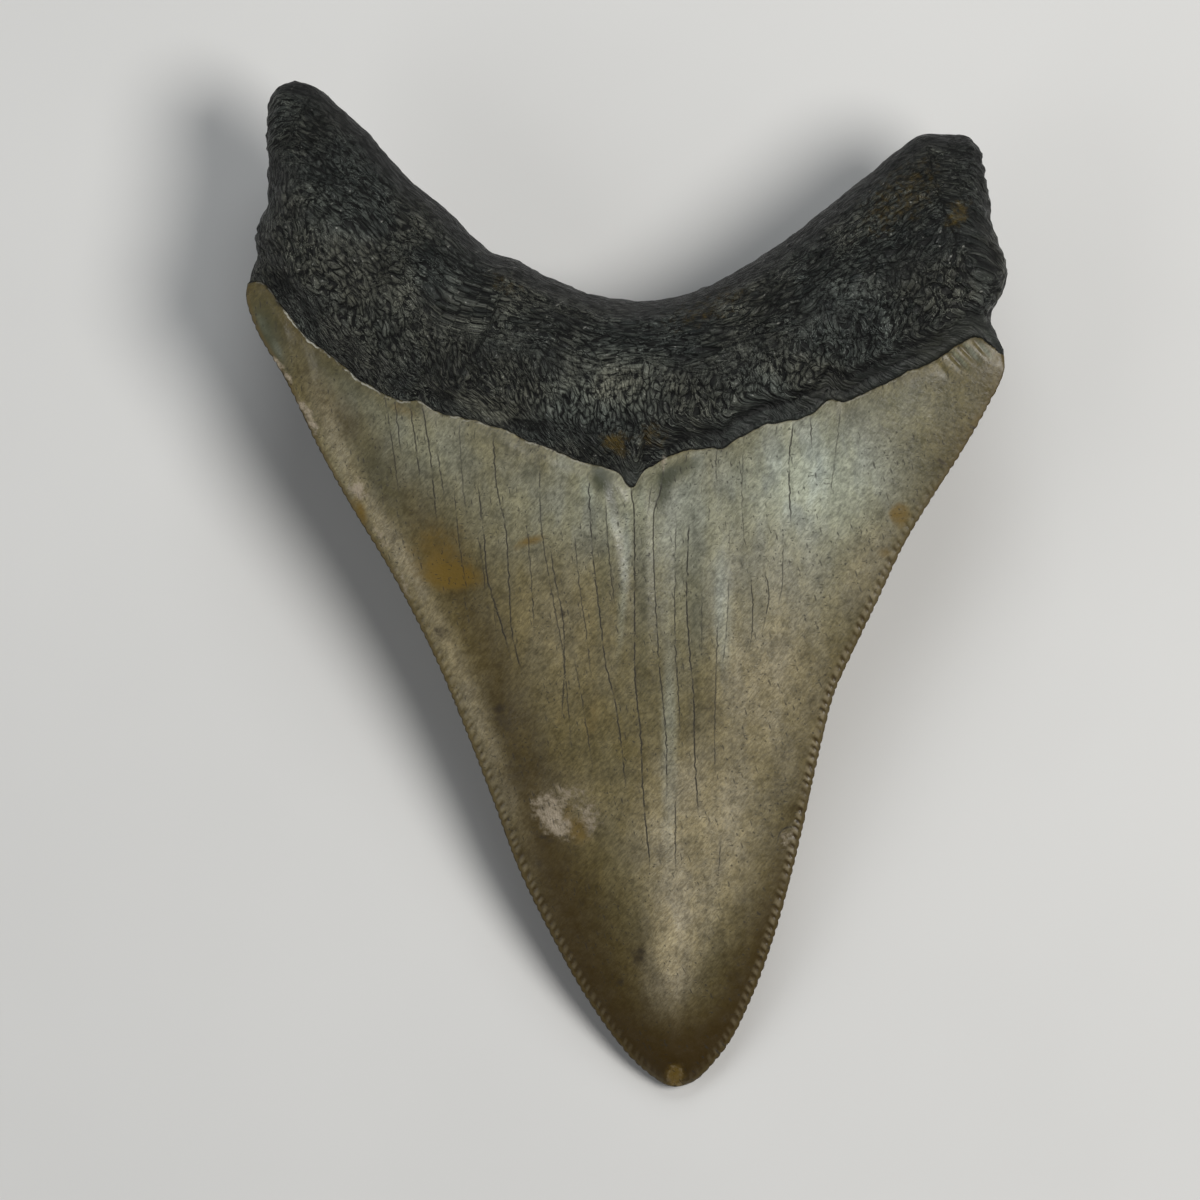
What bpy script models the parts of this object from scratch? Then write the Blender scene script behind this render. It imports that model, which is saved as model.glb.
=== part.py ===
"""A fossil megalodon tooth, lying on its lingual side with its flat labial face up.

A tooth grows as one piece, so it is one solid: a root with two lobes, a crown with serrated cutting
edges, and the smooth neck band between them on the lingual side. The two faces are height fields over
one outline, and they meet along it: in a sharp serrated edge round the crown, and in a round one
round the root.

Frame: +X to the right seen from above, +Y from the tip to the root, +Z up. The tooth lies on z = 0,
and the origin is under the centre of its box. Driving dimensions are in millimetres.
"""

import math

import bpy
import numpy as np
from mathutils import Vector, kdtree, noise
from mathutils.geometry import delaunay_2d_cdt

MM = 0.001

# The outline seen from above, in three sides that meet at the lobe ends and at the tip.
LEFT_ROOT_SIDE = [
    (-33.2, 50.4), (-34.8, 49.8), (-35.5, 48.8), (-36.0, 45.6), (-35.8, 41.8), (-36.1, 37.7),
    (-36.7, 36.2), (-37.2, 34.8), (-36.9, 32.6), (-37.4, 31.6), (-37.9, 30.1),
]
LEFT_CUTTING_EDGE = [
    (-38.0, 28.7), (-36.9, 25.4), (-34.1, 20.6), (-30.6, 13.4), (-27.7, 8.2), (-23.6, 1.4),
    (-19.2, -7.2), (-16.1, -14.6), (-13.4, -21.6), (-10.9, -28.3), (-7.7, -34.9), (-4.0, -41.5),
    (0.0, -47.0), (2.1, -49.0), (3.9, -50.2), (4.8, -50.4),
]
RIGHT_ROOT_SIDE = [
    (33.1, 45.1), (34.4, 44.5), (35.4, 42.8), (36.0, 38.6), (36.5, 35.7), (37.7, 32.3), (37.9, 30.8),
    (37.3, 29.2), (36.2, 26.6), (36.7, 25.2), (37.5, 23.6),
]
RIGHT_CUTTING_EDGE = [
    (37.5, 21.4), (35.7, 17.6), (33.3, 13.4), (30.3, 8.7), (27.6, 4.2), (24.7, -2.0), (22.3, -7.0),
    (20.7, -10.6), (19.0, -17.4), (17.4, -24.8), (15.7, -31.7), (14.0, -37.3), (12.4, -41.5),
    (10.4, -45.6), (8.6, -48.0), (6.9, -49.7), (5.5, -50.3), (4.8, -50.4),
]
BASAL_EDGE = [
    (-33.2, 50.4), (-31.1, 49.8), (-29.3, 48.3), (-25.5, 44.8), (-21.7, 40.5), (-18.2, 37.7),
    (-14.5, 34.0), (-13.2, 33.2), (-11.3, 32.7), (-7.7, 30.8), (-3.5, 29.2), (1.2, 28.5),
    (5.1, 29.0), (8.1, 30.0), (13.8, 33.2), (18.9, 37.0), (24.0, 41.0), (28.2, 44.4),
    (29.5, 45.1), (31.4, 45.0), (33.1, 45.1),
]
TIP = (4.8, -50.4)

# Where the enamel ends, as y against x: once on the labial face, twice on the lingual one.
LABIAL_LINE = [
    (-38.0, 30.2), (-36.2, 30.1), (-34.3, 27.6), (-31.9, 24.7), (-28.7, 22.2), (-25.4, 19.8),
    (-22.3, 18.4), (-20.7, 18.3), (-17.2, 16.9), (-13.1, 15.8), (-10.2, 14.5), (-6.4, 13.1),
    (-2.2, 11.8), (-0.7, 11.2), (0.5, 9.9), (1.6, 11.5), (3.5, 12.4), (5.2, 13.3), (9.5, 13.7),
    (12.2, 15.3), (15.7, 16.3), (18.6, 17.2), (19.9, 18.4), (21.8, 18.4), (25.6, 20.1),
    (29.4, 21.9), (32.6, 23.8), (34.5, 24.8), (36.1, 23.9), (38.0, 22.4),
]
NECK_TOP = [
    (-38.0, 29.8), (-34.0, 24.6), (-28.0, 18.6), (-20.0, 13.4), (-11.0, 9.0), (-3.0, 6.6),
    (1.0, 5.9), (5.0, 6.5), (13.0, 8.8), (21.0, 12.2), (28.0, 15.9), (34.0, 19.9), (38.0, 23.2),
]
NECK_BOTTOM = [
    (-38.0, 29.2), (-34.0, 23.2), (-28.0, 16.2), (-20.0, 9.8), (-11.0, 4.2), (-3.0, 0.9),
    (1.2, -0.4), (5.0, 0.6), (13.0, 4.0), (21.0, 8.6), (28.0, 13.4), (34.0, 18.4), (38.0, 22.8),
]

# Serrations of the cutting edges
SERRATION_PITCH = 0.92
SERRATION_HEIGHT = 0.2
SERRATION_FADE = 5.0  # length over which they rise from the shoulder and from the worn tip
SERRATION_RIB = 1.1  # how far a serration's rib runs in over the faces

# Heights along the tooth, as millimetres against distance from the tip
CUTTING_EDGE_Z = [
    (0.0, 1.3), (5.0, 2.7), (15.0, 5.8), (30.0, 9.5), (45.0, 12.9), (60.0, 15.7), (72.0, 17.4),
    (82.0, 18.3),
]
LABIAL_CROWN_RISE = [(0.0, 0.0), (0.5, 0.5), (1.5, 0.9), (5.0, 1.4), (15.0, 2.1), (30.0, 2.4),
                     (45.0, 2.3), (60.0, 1.9), (80.0, 1.6)]
LINGUAL_CROWN_DEPTH = [(0.0, 0.0), (0.5, 0.8), (1.5, 1.4), (5.0, 2.7), (15.0, 5.5), (30.0, 8.6),
                       (45.0, 11.1), (55.0, 12.6), (80.0, 13.0)]
LABIAL_CROWN_POWER = [(0.0, 1.6), (15.0, 1.7), (35.0, 2.4), (60.0, 3.6)]
LINGUAL_CROWN_POWER = 2.0

# The root
ROOT_FACE_Z = [(55.0, 17.3), (61.0, 18.1), (68.0, 19.1), (78.0, 20.4), (88.0, 20.9), (101.0, 19.3)]
ROOT_EDGE_Z_MIDDLE = 12.4
ROOT_EDGE_Z_LOBE = 15.6
LABIAL_ROUND = 5.5
LINGUAL_ROUND = 9.0
LOBE_X = 32.0  # how far from the middle the lobes' ends are
LOBE_UNDERSIDE_Z = 9.0
BOSS_CENTRE = (0.6, 14.6)
BOSS_HALF_WIDTH = 20.0
BOSS_HALF_LENGTH = 13.0
BOSS_DEPTH = 9.9
BOSS_SQUARENESS = 2.8
FORAMEN = (1.0, 19.6)
FORAMEN_RADIUS = 0.9
FORAMEN_DEPTH = 1.5
FORAMEN_LENGTH = 1.3  # against its width
ROOT_LUMP = 0.28
ROOT_LUMP_LENGTH = 6.5
LABIAL_SEED, LINGUAL_SEED = 3.0, 11.0

# Where one material ends and the next begins
LABIAL_LEDGE = 0.35  # the root stands proud of the enamel by this much
LEDGE_WIDTH = 0.35
LEDGE_FADE = (2.0, 5.0)  # where over the root the ledge begins and ends its fall to the root's face
GROOVE_OFFSET = 1.3
GROOVE_DEPTH = 0.35
GROOVE_HALF_WIDTH = 0.55
GROOVE_GAP = (1.0, 6.0, 9.0)  # x of the stretch without a groove, its half width, and where it is full
NECK_STEP = 0.35
RELIEF_MARGIN = 1.5  # these steps fade out towards the outline over this distance
BLEND_BELOW = 1.5  # how far the root's form runs on under the enamel line
BLEND_LENGTH = 5.0

# Relief of the labial crown face, with a furrow inside each cutting edge
EDGE_FURROW = 0.38
EDGE_FURROW_OFFSET = 4.9
EDGE_FURROW_HALF_WIDTH = 2.1
EDGE_FURROW_START = (18.0, 38.0)  # distance from the tip where it begins, and where it is full
RIGHT_FURROW_SHARE = 0.6
# Folds below the middle of the root: x and y at the top, x and y at the bottom, half width, height
CROWN_FOLDS = [
    (-2.6, 9.8, 0.4, -5.5, 0.8, 0.3),
    (1.6, 9.0, 1.9, -12.0, 0.9, 0.22),
    (5.4, 11.5, 4.6, -8.0, 1.3, -0.2),
    (8.6, 6.0, 8.6, -26.0, 1.6, 0.2),
    (2.0, -24.0, 4.4, -46.0, 1.4, 0.3),
]
# Worn hollows, chips and swellings: x, y, radius across, radius along, height
CROWN_SPOTS = [
    (-6.0, -22.2, 2.8, 2.0, -0.35),
    (-4.2, -24.2, 1.6, 1.4, -0.3),
    (17.0, -24.3, 1.4, 1.9, -0.45),
    (1.1, -37.1, 0.9, 0.9, -0.4),
    (4.8, -49.3, 0.9, 1.3, -0.45),
    (-13.0, -12.4, 1.8, 3.4, -0.25),
]

# Mesh: each serration has a peak and a notch
ROOT_STEP = 1.3
LINE_STEP = 1.3
FACE_STEP = 1.9
RING_ANGLES = (24.0, 46.0, 68.0)  # round the quarter circle of the root's edge, in degrees
LABIAL_LINE_OFFSETS = (0.0, LEDGE_WIDTH, GROOVE_OFFSET, 2 * GROOVE_OFFSET, 4.0)
NECK_TOP_OFFSETS = (0.0, LEDGE_WIDTH, 1.4, 2.6, 4.0)
SIDE_STEP = 0.7  # of the lines that distances are measured to
LINE_GAP = 0.3
SPOT_GAP = 0.3
FACE_GAP = 1.05
LEAST_RISE = 0.05  # each face stays this far from the edge's height
SHARP_ANGLE = 55.0

ROOT_COLOUR = (0.030, 0.030, 0.029, 1.0)
ENAMEL_COLOUR = (0.235, 0.215, 0.165, 1.0)
NECK_COLOUR = (0.055, 0.048, 0.040, 1.0)


def smoothstep(value, start=0.0, end=1.0):
    """0 below the start, 1 above the end and a smooth step between."""
    share = np.clip((value - start) / (end - start), 0.0, 1.0)
    return share * share * (3.0 - 2.0 * share)


def profile(table, where):
    """A table's value at each place, joined smoothly."""
    x, y = np.array(table).T
    slope = np.gradient(y, x)
    k = np.clip(np.searchsorted(x, where) - 1, 0, len(x) - 2)
    width = x[k + 1] - x[k]
    t = np.clip((where - x[k]) / width, 0.0, 1.0)
    return (
        (2 * t**3 - 3 * t**2 + 1) * y[k]
        + (t**3 - 2 * t**2 + t) * width * slope[k]
        + (3 * t**2 - 2 * t**3) * y[k + 1]
        + (t**3 - t**2) * width * slope[k + 1]
    )


def curve_through(points, step, parts=1):
    """Even steps along a smooth curve through the points, each split into equal parts."""
    p = np.array(points, float)
    along = np.concatenate([[0.0], np.cumsum(np.sqrt(np.linalg.norm(np.diff(p, axis=0), axis=1)))])
    fine = np.linspace(0.0, along[-1], 40 * len(p))
    curve = np.stack([profile(np.stack([along, p[:, i]], 1), fine) for i in (0, 1)], axis=1)
    length = np.concatenate([[0.0], np.cumsum(np.linalg.norm(np.diff(curve, axis=0), axis=1))])
    even = np.linspace(0.0, length[-1], max(1, round(length[-1] / step)) * parts + 1)
    return np.stack([np.interp(even, length, curve[:, i]) for i in (0, 1)], axis=1)


def normals_of(line):
    """Unit normals of an open line, to its left."""
    run = np.gradient(line, axis=0)
    run /= np.linalg.norm(run, axis=1)[:, None]
    return np.stack([-run[:, 1], run[:, 0]], axis=1)


def distance_to(points, line):
    """Each point's distance to a line of straight segments."""
    start, run = line[:-1], np.diff(line, axis=0)
    square = (run * run).sum(1)
    out = np.empty(len(points))
    for first in range(0, len(points), 2000):
        away = points[first : first + 2000, None, :] - start
        t = np.clip((away * run).sum(2) / square, 0.0, 1.0)
        out[first : first + 2000] = np.linalg.norm(away - t[:, :, None] * run, axis=2).min(1)
    return out


def both(a, b):
    """A smooth stand-in for the lesser of two distances, zero only where one of them is."""
    return a + b - np.sqrt(a * a + b * b)


def inside(points, loop):
    """Which points lie inside a closed loop."""
    found = np.zeros(len(points), bool)
    for a, b in zip(loop, np.roll(loop, -1, axis=0)):
        crosses = (a[1] > points[:, 1]) != (b[1] > points[:, 1])
        if crosses.any():
            x = a[0] + (points[:, 1] - a[1]) * (b[0] - a[0]) / (b[1] - a[1] or 1e-12)
            found ^= crosses & (points[:, 0] < x)
    return found


LEFT_SIDE = curve_through(LEFT_ROOT_SIDE + LEFT_CUTTING_EDGE, SIDE_STEP)
RIGHT_SIDE = curve_through(RIGHT_ROOT_SIDE + RIGHT_CUTTING_EDGE, SIDE_STEP)
BASAL_SIDE = curve_through(BASAL_EDGE, SIDE_STEP)


def serrations(edge, inward):
    """The cutting edge as notches and peaks by turns, and the points where the peaks' ribs begin."""
    line = curve_through(edge, SERRATION_PITCH, 2)
    from_end = np.arange(len(line)) * SERRATION_PITCH / 2
    fade = smoothstep(from_end / SERRATION_FADE) * smoothstep(from_end[::-1] / SERRATION_FADE)
    turn = np.where(np.arange(len(line)) % 2, -0.5, 0.5)
    normal = inward * normals_of(line)
    ribs = (line + SERRATION_RIB * normal)[1:-1:2]
    return line + normal * (SERRATION_HEIGHT * fade * turn)[:, None], ribs


LEFT_TEETH, LEFT_RIBS = serrations([LEFT_ROOT_SIDE[-1]] + LEFT_CUTTING_EDGE, 1.0)
RIGHT_TEETH, RIGHT_RIBS = serrations([RIGHT_ROOT_SIDE[-1]] + RIGHT_CUTTING_EDGE, -1.0)


def outline():
    """The tooth's closed outline, running anticlockwise seen from above."""
    sides = [
        curve_through(BASAL_EDGE, ROOT_STEP)[::-1],
        curve_through(LEFT_ROOT_SIDE, ROOT_STEP),
        LEFT_TEETH,
        RIGHT_TEETH[::-1],
        curve_through(RIGHT_ROOT_SIDE, ROOT_STEP)[::-1],
    ]
    return np.concatenate([side[:-1] for side in sides])


def above(line, x, y):
    """How far each point is above a line given as y against x: positive on the root's side."""
    table = np.array(line)
    slope = np.interp(x, table[1:, 0], np.diff(table[:, 1]) / np.diff(table[:, 0]))
    return (y - np.interp(x, table[:, 0], table[:, 1])) / np.sqrt(1.0 + np.clip(slope, -1.5, 1.5) ** 2)


class Place:
    """What the heights need to know about each point of the outline's inside."""

    def __init__(self, points):
        self.x, self.y = points.T
        self.from_tip = self.y - TIP[1]
        left, right, basal = (distance_to(points, side) for side in (LEFT_SIDE, RIGHT_SIDE, BASAL_SIDE))
        self.to_edge = both(both(left, right), basal)
        self.to_left, self.to_right = left, right
        left_x = np.interp(self.y, *LEFT_SIDE[np.argsort(LEFT_SIDE[:, 1])].T[::-1])
        right_x = np.interp(self.y, *RIGHT_SIDE[np.argsort(RIGHT_SIDE[:, 1])].T[::-1])
        middle, half = (left_x + right_x) / 2, (right_x - left_x) / 2
        self.across = np.clip((self.x - middle) / np.maximum(half, 1e-6), -1.0, 1.0)
        self.root_edge = self.root_share(LABIAL_LINE)

    def root_share(self, line):
        """0 in the crown and 1 in the root, blended over the enamel's end."""
        return smoothstep((above(line, self.x, self.y) + BLEND_BELOW) / BLEND_LENGTH)


def edge_height(place):
    """Height of the edge where the two faces meet."""
    crown = profile(CUTTING_EDGE_Z, place.from_tip)
    out = smoothstep(np.abs(place.x - BOSS_CENTRE[0]), 0.0, LOBE_X)
    root = ROOT_EDGE_Z_MIDDLE + (ROOT_EDGE_Z_LOBE - ROOT_EDGE_Z_MIDDLE) * out
    return crown + (root - crown) * place.root_edge


def rounded(distance, radius):
    """A quarter circle's height, from 0 at the edge to 1 a radius in."""
    return np.sqrt(np.maximum(0.0, 1.0 - (1.0 - np.clip(distance / radius, 0.0, 1.0)) ** 2))


def lumps(place, seed):
    """Low uneven swells, from -1 to 1."""
    where = np.column_stack([place.x, place.y]) / ROOT_LUMP_LENGTH
    return np.array([noise.noise(Vector((x, y, seed))) for x, y in where])


def fold(place, x0, y0, x1, y1, half_width, height):
    """A straight rounded fold between two points of the crown, fading at both ends."""
    start, run = np.array([x0, y0]), np.array([x1 - x0, y1 - y0])
    away = np.stack([place.x, place.y], 1) - start
    t = away @ run / (run @ run)
    side = (away[:, 0] * run[1] - away[:, 1] * run[0]) / np.linalg.norm(run)
    fade = smoothstep(t * 5.0 + 0.6) * smoothstep((1.0 - t) * 2.0)
    return height * fade * np.exp(-((side / half_width) ** 2))


def spot(place, x, y, across, along, height):
    """A round hollow or swelling."""
    r = ((place.x - x) / across) ** 2 + ((place.y - y) / along) ** 2
    return height * np.exp(-(r**1.5))


def labial_height(place):
    """Height of the upper face: a nearly flat crown with a furrow inside each edge, and a proud root."""
    edge = edge_height(place)
    power = profile(LABIAL_CROWN_POWER, place.from_tip)
    crown = edge + profile(LABIAL_CROWN_RISE, place.from_tip) * (1 - np.abs(place.across) ** power)
    reach = smoothstep(place.from_tip, *EDGE_FURROW_START)
    for side, share in ((place.to_left, 1.0), (place.to_right, RIGHT_FURROW_SHARE)):
        furrow = np.exp(-(((side - EDGE_FURROW_OFFSET) / EDGE_FURROW_HALF_WIDTH) ** 2))
        crown = crown - EDGE_FURROW * share * reach * furrow
    for each in CROWN_FOLDS:
        crown = crown + fold(place, *each)
    for each in CROWN_SPOTS:
        crown = crown + spot(place, *each)
    face = profile(ROOT_FACE_Z, place.from_tip) + ROOT_LUMP * lumps(place, LABIAL_SEED)
    root = edge + (face - edge) * rounded(place.to_edge, LABIAL_ROUND)
    share = place.root_share(LABIAL_LINE)
    height = crown + (root - crown) * share
    over = above(LABIAL_LINE, place.x, place.y)
    gap_x, gap_start, gap_end = GROOVE_GAP
    there = smoothstep(np.abs(place.x - gap_x), gap_start, gap_end)
    groove = np.exp(-(((over - GROOVE_OFFSET) / GROOVE_HALF_WIDTH) ** 2)) * there
    ledge = LABIAL_LEDGE * smoothstep(over, 0.0, LEDGE_WIDTH) * (1 - smoothstep(over, *LEDGE_FADE))
    return height + smoothstep(place.to_edge, 0.0, RELIEF_MARGIN) * (ledge - GROOVE_DEPTH * groove)


def lingual_height(place):
    """Height of the lower face: a domed crown, a recessed neck band and the root's boss."""
    edge = edge_height(place)
    depth = profile(LINGUAL_CROWN_DEPTH, place.from_tip)
    crown = edge - depth * (1 - np.abs(place.across) ** LINGUAL_CROWN_POWER)
    wide = (np.abs(place.x - BOSS_CENTRE[0]) / BOSS_HALF_WIDTH) ** BOSS_SQUARENESS
    long = ((place.y - BOSS_CENTRE[1]) / BOSS_HALF_LENGTH) ** 2
    face = LOBE_UNDERSIDE_Z - BOSS_DEPTH * np.exp(-wide - long)
    rough = ROOT_LUMP * lumps(place, LINGUAL_SEED)
    root = edge - (edge - face - rough) * rounded(place.to_edge, LINGUAL_ROUND)
    height = crown + (root - crown) * place.root_share(NECK_TOP)
    inner = smoothstep(place.to_edge, 0.0, RELIEF_MARGIN)
    neck = smoothstep(above(NECK_BOTTOM, place.x, place.y), 0.0, LEDGE_WIDTH)
    neck = neck * (1 - smoothstep(above(NECK_TOP, place.x, place.y), 0.0, LEDGE_WIDTH))
    pit = np.hypot(place.x - FORAMEN[0], (place.y - FORAMEN[1]) / FORAMEN_LENGTH) / FORAMEN_RADIUS
    height = height + inner * NECK_STEP * neck + FORAMEN_DEPTH * np.exp(-(pit**4))
    return np.maximum(height, 0.0)


def root_ring(depth):
    """Points round the root, a distance inside its outline and half a step on from its points."""
    sides = [BASAL_EDGE[::-1], LEFT_ROOT_SIDE, RIGHT_ROOT_SIDE[::-1]]
    rings = []
    for side in sides:
        line = curve_through(side, ROOT_STEP, 2)
        rings.append((line + depth * normals_of(line))[1::2])
    return np.concatenate(rings)


def along_line(line, offset):
    """Points beside an enamel line, an offset towards the root."""
    points = curve_through(line, LINE_STEP)
    return points + offset * normals_of(points)


def round_spot(x, y, across, along, shares):
    """Points on rings round the middle of a small hollow."""
    turns = np.arange(9) * 2 * math.pi / 9
    rings = [(x + share * across * np.cos(turns), y + share * along * np.sin(turns)) for share in shares]
    return np.unique(np.round(np.hstack(rings).T, 4), axis=0)


def lattice():
    """Points of a triangular lattice over the outline's box."""
    rows = np.arange(-52.0, 52.0, FACE_STEP * math.sqrt(3) / 2)
    across = np.arange(-40.0, 40.0, FACE_STEP)
    return np.array([(x + (i % 2) * FACE_STEP / 2, y) for i, y in enumerate(rows) for x in across])


def clear_of(kept, new, gap):
    """The new points that are at least a gap away from all the kept ones."""
    tree = kdtree.KDTree(len(kept))
    for i, (x, y) in enumerate(kept):
        tree.insert((x, y, 0.0), i)
    tree.balance()
    return np.array([point for point in new if tree.find((*point, 0.0))[2] >= gap]).reshape(-1, 2)


def face_points(loop, radius, lines, spots):
    """All points of one face: the outline first, then its rings, its enamel lines and a lattice."""
    closed = np.vstack([loop, loop[:1]])
    ribs = clear_of(loop, np.vstack([LEFT_RIBS, RIGHT_RIBS[:-1]]), 0.8 * SERRATION_RIB)
    points = np.vstack([loop, ribs])
    for angle in RING_ANGLES:
        depth = radius * (1 - math.cos(math.radians(angle)))
        ring = root_ring(depth)
        ring = ring[inside(ring, loop)]
        ring = ring[distance_to(ring, closed) > 0.85 * depth]
        points = np.vstack([points, clear_of(points, ring, min(0.9 * depth, FACE_GAP))])
    groups = [(line, LINE_GAP) for line in lines]
    groups += [(spot, SPOT_GAP) for spot in spots]
    groups.append((lattice(), FACE_GAP))
    for new, gap in groups:
        new = new[inside(new, loop)]
        new = new[distance_to(new, closed) > gap]
        points = np.vstack([points, clear_of(points, new, gap)])
    return points


def triangulate(points, loop_count):
    """Delaunay triangles of the points inside their outline, as indices into the points."""
    made = delaunay_2d_cdt([Vector(p) for p in points], [], [list(range(loop_count))], 1, 1e-6)
    coordinates, _, faces, origins = made[:4]
    if len(coordinates) != len(points):
        raise ValueError(f"{len(coordinates)} points made of {len(points)}")
    source = [origin[0] for origin in origins]
    return np.array([[source[i] for i in face] for face in faces])


def make_tooth():
    """One closed mesh of both faces, which share the outline's points."""
    loop = outline()
    n = len(loop)
    upper_lines = [along_line(LABIAL_LINE, k) for k in LABIAL_LINE_OFFSETS]
    lower_lines = [along_line(NECK_TOP, k) for k in NECK_TOP_OFFSETS]
    lower_lines += [along_line(NECK_BOTTOM, k) for k in (0.0, LEDGE_WIDTH)]
    upper_spots = [round_spot(*each[:4], (0.0, 0.6, 1.2)) for each in CROWN_SPOTS]
    pit_length = FORAMEN_LENGTH * FORAMEN_RADIUS
    lower_spots = [round_spot(*FORAMEN, FORAMEN_RADIUS, pit_length, (0.4, 0.8, 1.2, 1.8))]
    upper = face_points(loop, LABIAL_ROUND, upper_lines, upper_spots)
    lower = face_points(loop, LINGUAL_ROUND, lower_lines, lower_spots)
    upper_place, lower_place = Place(upper), Place(lower)
    upper_edge, lower_edge = edge_height(upper_place), edge_height(lower_place)
    upper_z = np.maximum(labial_height(upper_place), upper_edge + LEAST_RISE)
    lower_z = np.minimum(lingual_height(lower_place), lower_edge - LEAST_RISE)
    upper_z[:n] = upper_edge[:n]
    upper_faces = triangulate(upper, n)
    lower_faces = triangulate(lower, n)
    lower_faces = np.where(lower_faces < n, lower_faces, lower_faces + len(upper) - n)[:, ::-1]
    points = np.vstack([np.column_stack([upper, upper_z]), np.column_stack([lower, lower_z])[n:]])
    faces = np.vstack([upper_faces, lower_faces])
    mesh = bpy.data.meshes.new("tooth")
    mesh.from_pydata((points * MM).tolist(), [], faces.tolist())
    dress(mesh, len(upper_faces))
    mesh.shade_smooth()
    mesh.set_sharp_from_angle(angle=math.radians(SHARP_ANGLE))
    tooth = bpy.data.objects.new("tooth", mesh)
    bpy.context.scene.collection.objects.link(tooth)


def material(name, colour, roughness):
    """A plain Principled material."""
    made = bpy.data.materials.new(name)
    made.use_nodes = True
    shader = made.node_tree.nodes["Principled BSDF"]
    shader.inputs["Base Color"].default_value = colour
    shader.inputs["Roughness"].default_value = roughness
    shader.inputs["Metallic"].default_value = 0.0
    return made


def dress(mesh, upper_count):
    """Gives each face the colour of root, enamel or neck, by where its centre lies."""
    mesh.materials.append(material("root", ROOT_COLOUR, 0.6))
    mesh.materials.append(material("enamel", ENAMEL_COLOUR, 0.35))
    mesh.materials.append(material("neck", NECK_COLOUR, 0.5))
    centres = np.array([face.center for face in mesh.polygons]) / MM
    x, y = centres[:, 0], centres[:, 1]
    upper = np.arange(len(centres)) < upper_count
    root = np.where(upper, above(LABIAL_LINE, x, y), above(NECK_TOP, x, y)) > 0
    neck = ~upper & ~root & (above(NECK_BOTTOM, x, y) > 0)
    mesh.polygons.foreach_set("material_index", np.where(root, 0, np.where(neck, 2, 1)).astype(np.int32))


def main():
    """Clears the scene and makes the tooth."""
    for old in list(bpy.data.objects):
        bpy.data.objects.remove(old)
    make_tooth()


main()
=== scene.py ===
"""Dresses a fossil megalodon tooth that lies with its labial face up.

The tooth is one grown piece, so it is one mesh here too. Its two faces are height fields over one
outline, as in the solid that it stands for, with what the solid leaves out: the wrinkles and pits of the
root, the ragged end of the enamel, hairline cracks, ribs at the serrations, chips, stains and wear. Some
shade, sheen and highlights are painted into the colours as well.

Lengths are in millimetres until a mesh is made.
"""

import logging
import math
from dataclasses import dataclass
from enum import Enum

import bpy
import numpy as np
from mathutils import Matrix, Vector, kdtree, noise
from mathutils.geometry import delaunay_2d_cdt


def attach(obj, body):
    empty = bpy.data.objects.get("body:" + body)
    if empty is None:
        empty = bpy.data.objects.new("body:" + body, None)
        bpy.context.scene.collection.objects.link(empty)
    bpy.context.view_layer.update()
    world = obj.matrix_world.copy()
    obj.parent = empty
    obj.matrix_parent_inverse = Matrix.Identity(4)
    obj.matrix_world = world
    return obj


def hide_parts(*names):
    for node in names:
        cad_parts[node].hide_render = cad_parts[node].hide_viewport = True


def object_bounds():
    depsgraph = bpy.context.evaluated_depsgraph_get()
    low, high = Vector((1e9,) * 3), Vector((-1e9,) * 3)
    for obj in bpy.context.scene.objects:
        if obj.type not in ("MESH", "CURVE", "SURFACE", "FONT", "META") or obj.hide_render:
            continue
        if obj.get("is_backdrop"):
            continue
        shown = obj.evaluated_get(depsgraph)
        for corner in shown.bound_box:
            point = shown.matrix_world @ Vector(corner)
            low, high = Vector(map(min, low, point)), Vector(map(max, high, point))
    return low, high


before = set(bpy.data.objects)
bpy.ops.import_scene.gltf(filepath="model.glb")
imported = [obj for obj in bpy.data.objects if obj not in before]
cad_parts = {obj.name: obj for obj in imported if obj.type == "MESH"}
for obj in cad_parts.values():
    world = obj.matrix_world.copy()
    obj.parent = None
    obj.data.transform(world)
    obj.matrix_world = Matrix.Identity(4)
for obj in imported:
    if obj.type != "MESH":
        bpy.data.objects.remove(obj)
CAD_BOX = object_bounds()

MM = 0.001
LOG = logging.getLogger("tooth")
CHUNK = 1500
HALF_WIDTH = 39.0
SAME_POINT = 1e-7

Line = tuple[tuple[float, float], ...]
Colour = tuple[float, float, float]
Array = np.ndarray
Node = bpy.types.Node
Tree = bpy.types.NodeTree
Socket = bpy.types.NodeSocket
Sockets = bpy.types.bpy_prop_collection
Material = bpy.types.Material


class Tissue(Enum):
    """What the tooth's skin is made of, by material index."""

    ROOT = 0
    ENAMEL = 1
    NECK = 2


class Face(Enum):
    """The two faces of the tooth."""

    LABIAL = 1
    LINGUAL = -1


class Mask(Enum):
    """Values that are stored at the mesh's points and read by the finishes."""

    CRACK = "crack"
    # The serrations' rim on the enamel; on the root, painted shade along the basal edge.
    RIM = "rim"
    RIB = "rib"
    # Paler enamel: partly its own tone, partly a painted sheen and painted highlights on ridges and folds.
    PALE = "pale"
    # Warmer, lighter enamel: partly its own tone, partly painted light on the right half and on lit faces.
    WARM = "warm"
    # Darker towards the edges: the clear enamel's own brownish tone, and painted shade on the edges and on
    # the left side turned from the light.
    BROWN = "brown"
    STAIN = "stain"
    # Dark marks: partly pits and dark patches, partly painted shade in dents and in the grooves of the
    # folds.
    SMUDGE = "smudge"
    SCAR = "scar"
    # Dark olive patches: partly their own colour, partly painted shade in valleys beside folds and cracks
    # and near the enamel's end; on the root, the darker patches painted as shade.
    VEIL = "veil"
    # Thin light line where the enamel ends, partly its thin edge and partly a painted catch light.
    LIP = "lip"
    HOLLOW = "hollow"
    RELIEF = "relief"
    BAND = "band"
    FAN = "fan"
    OVER = "over"


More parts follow.
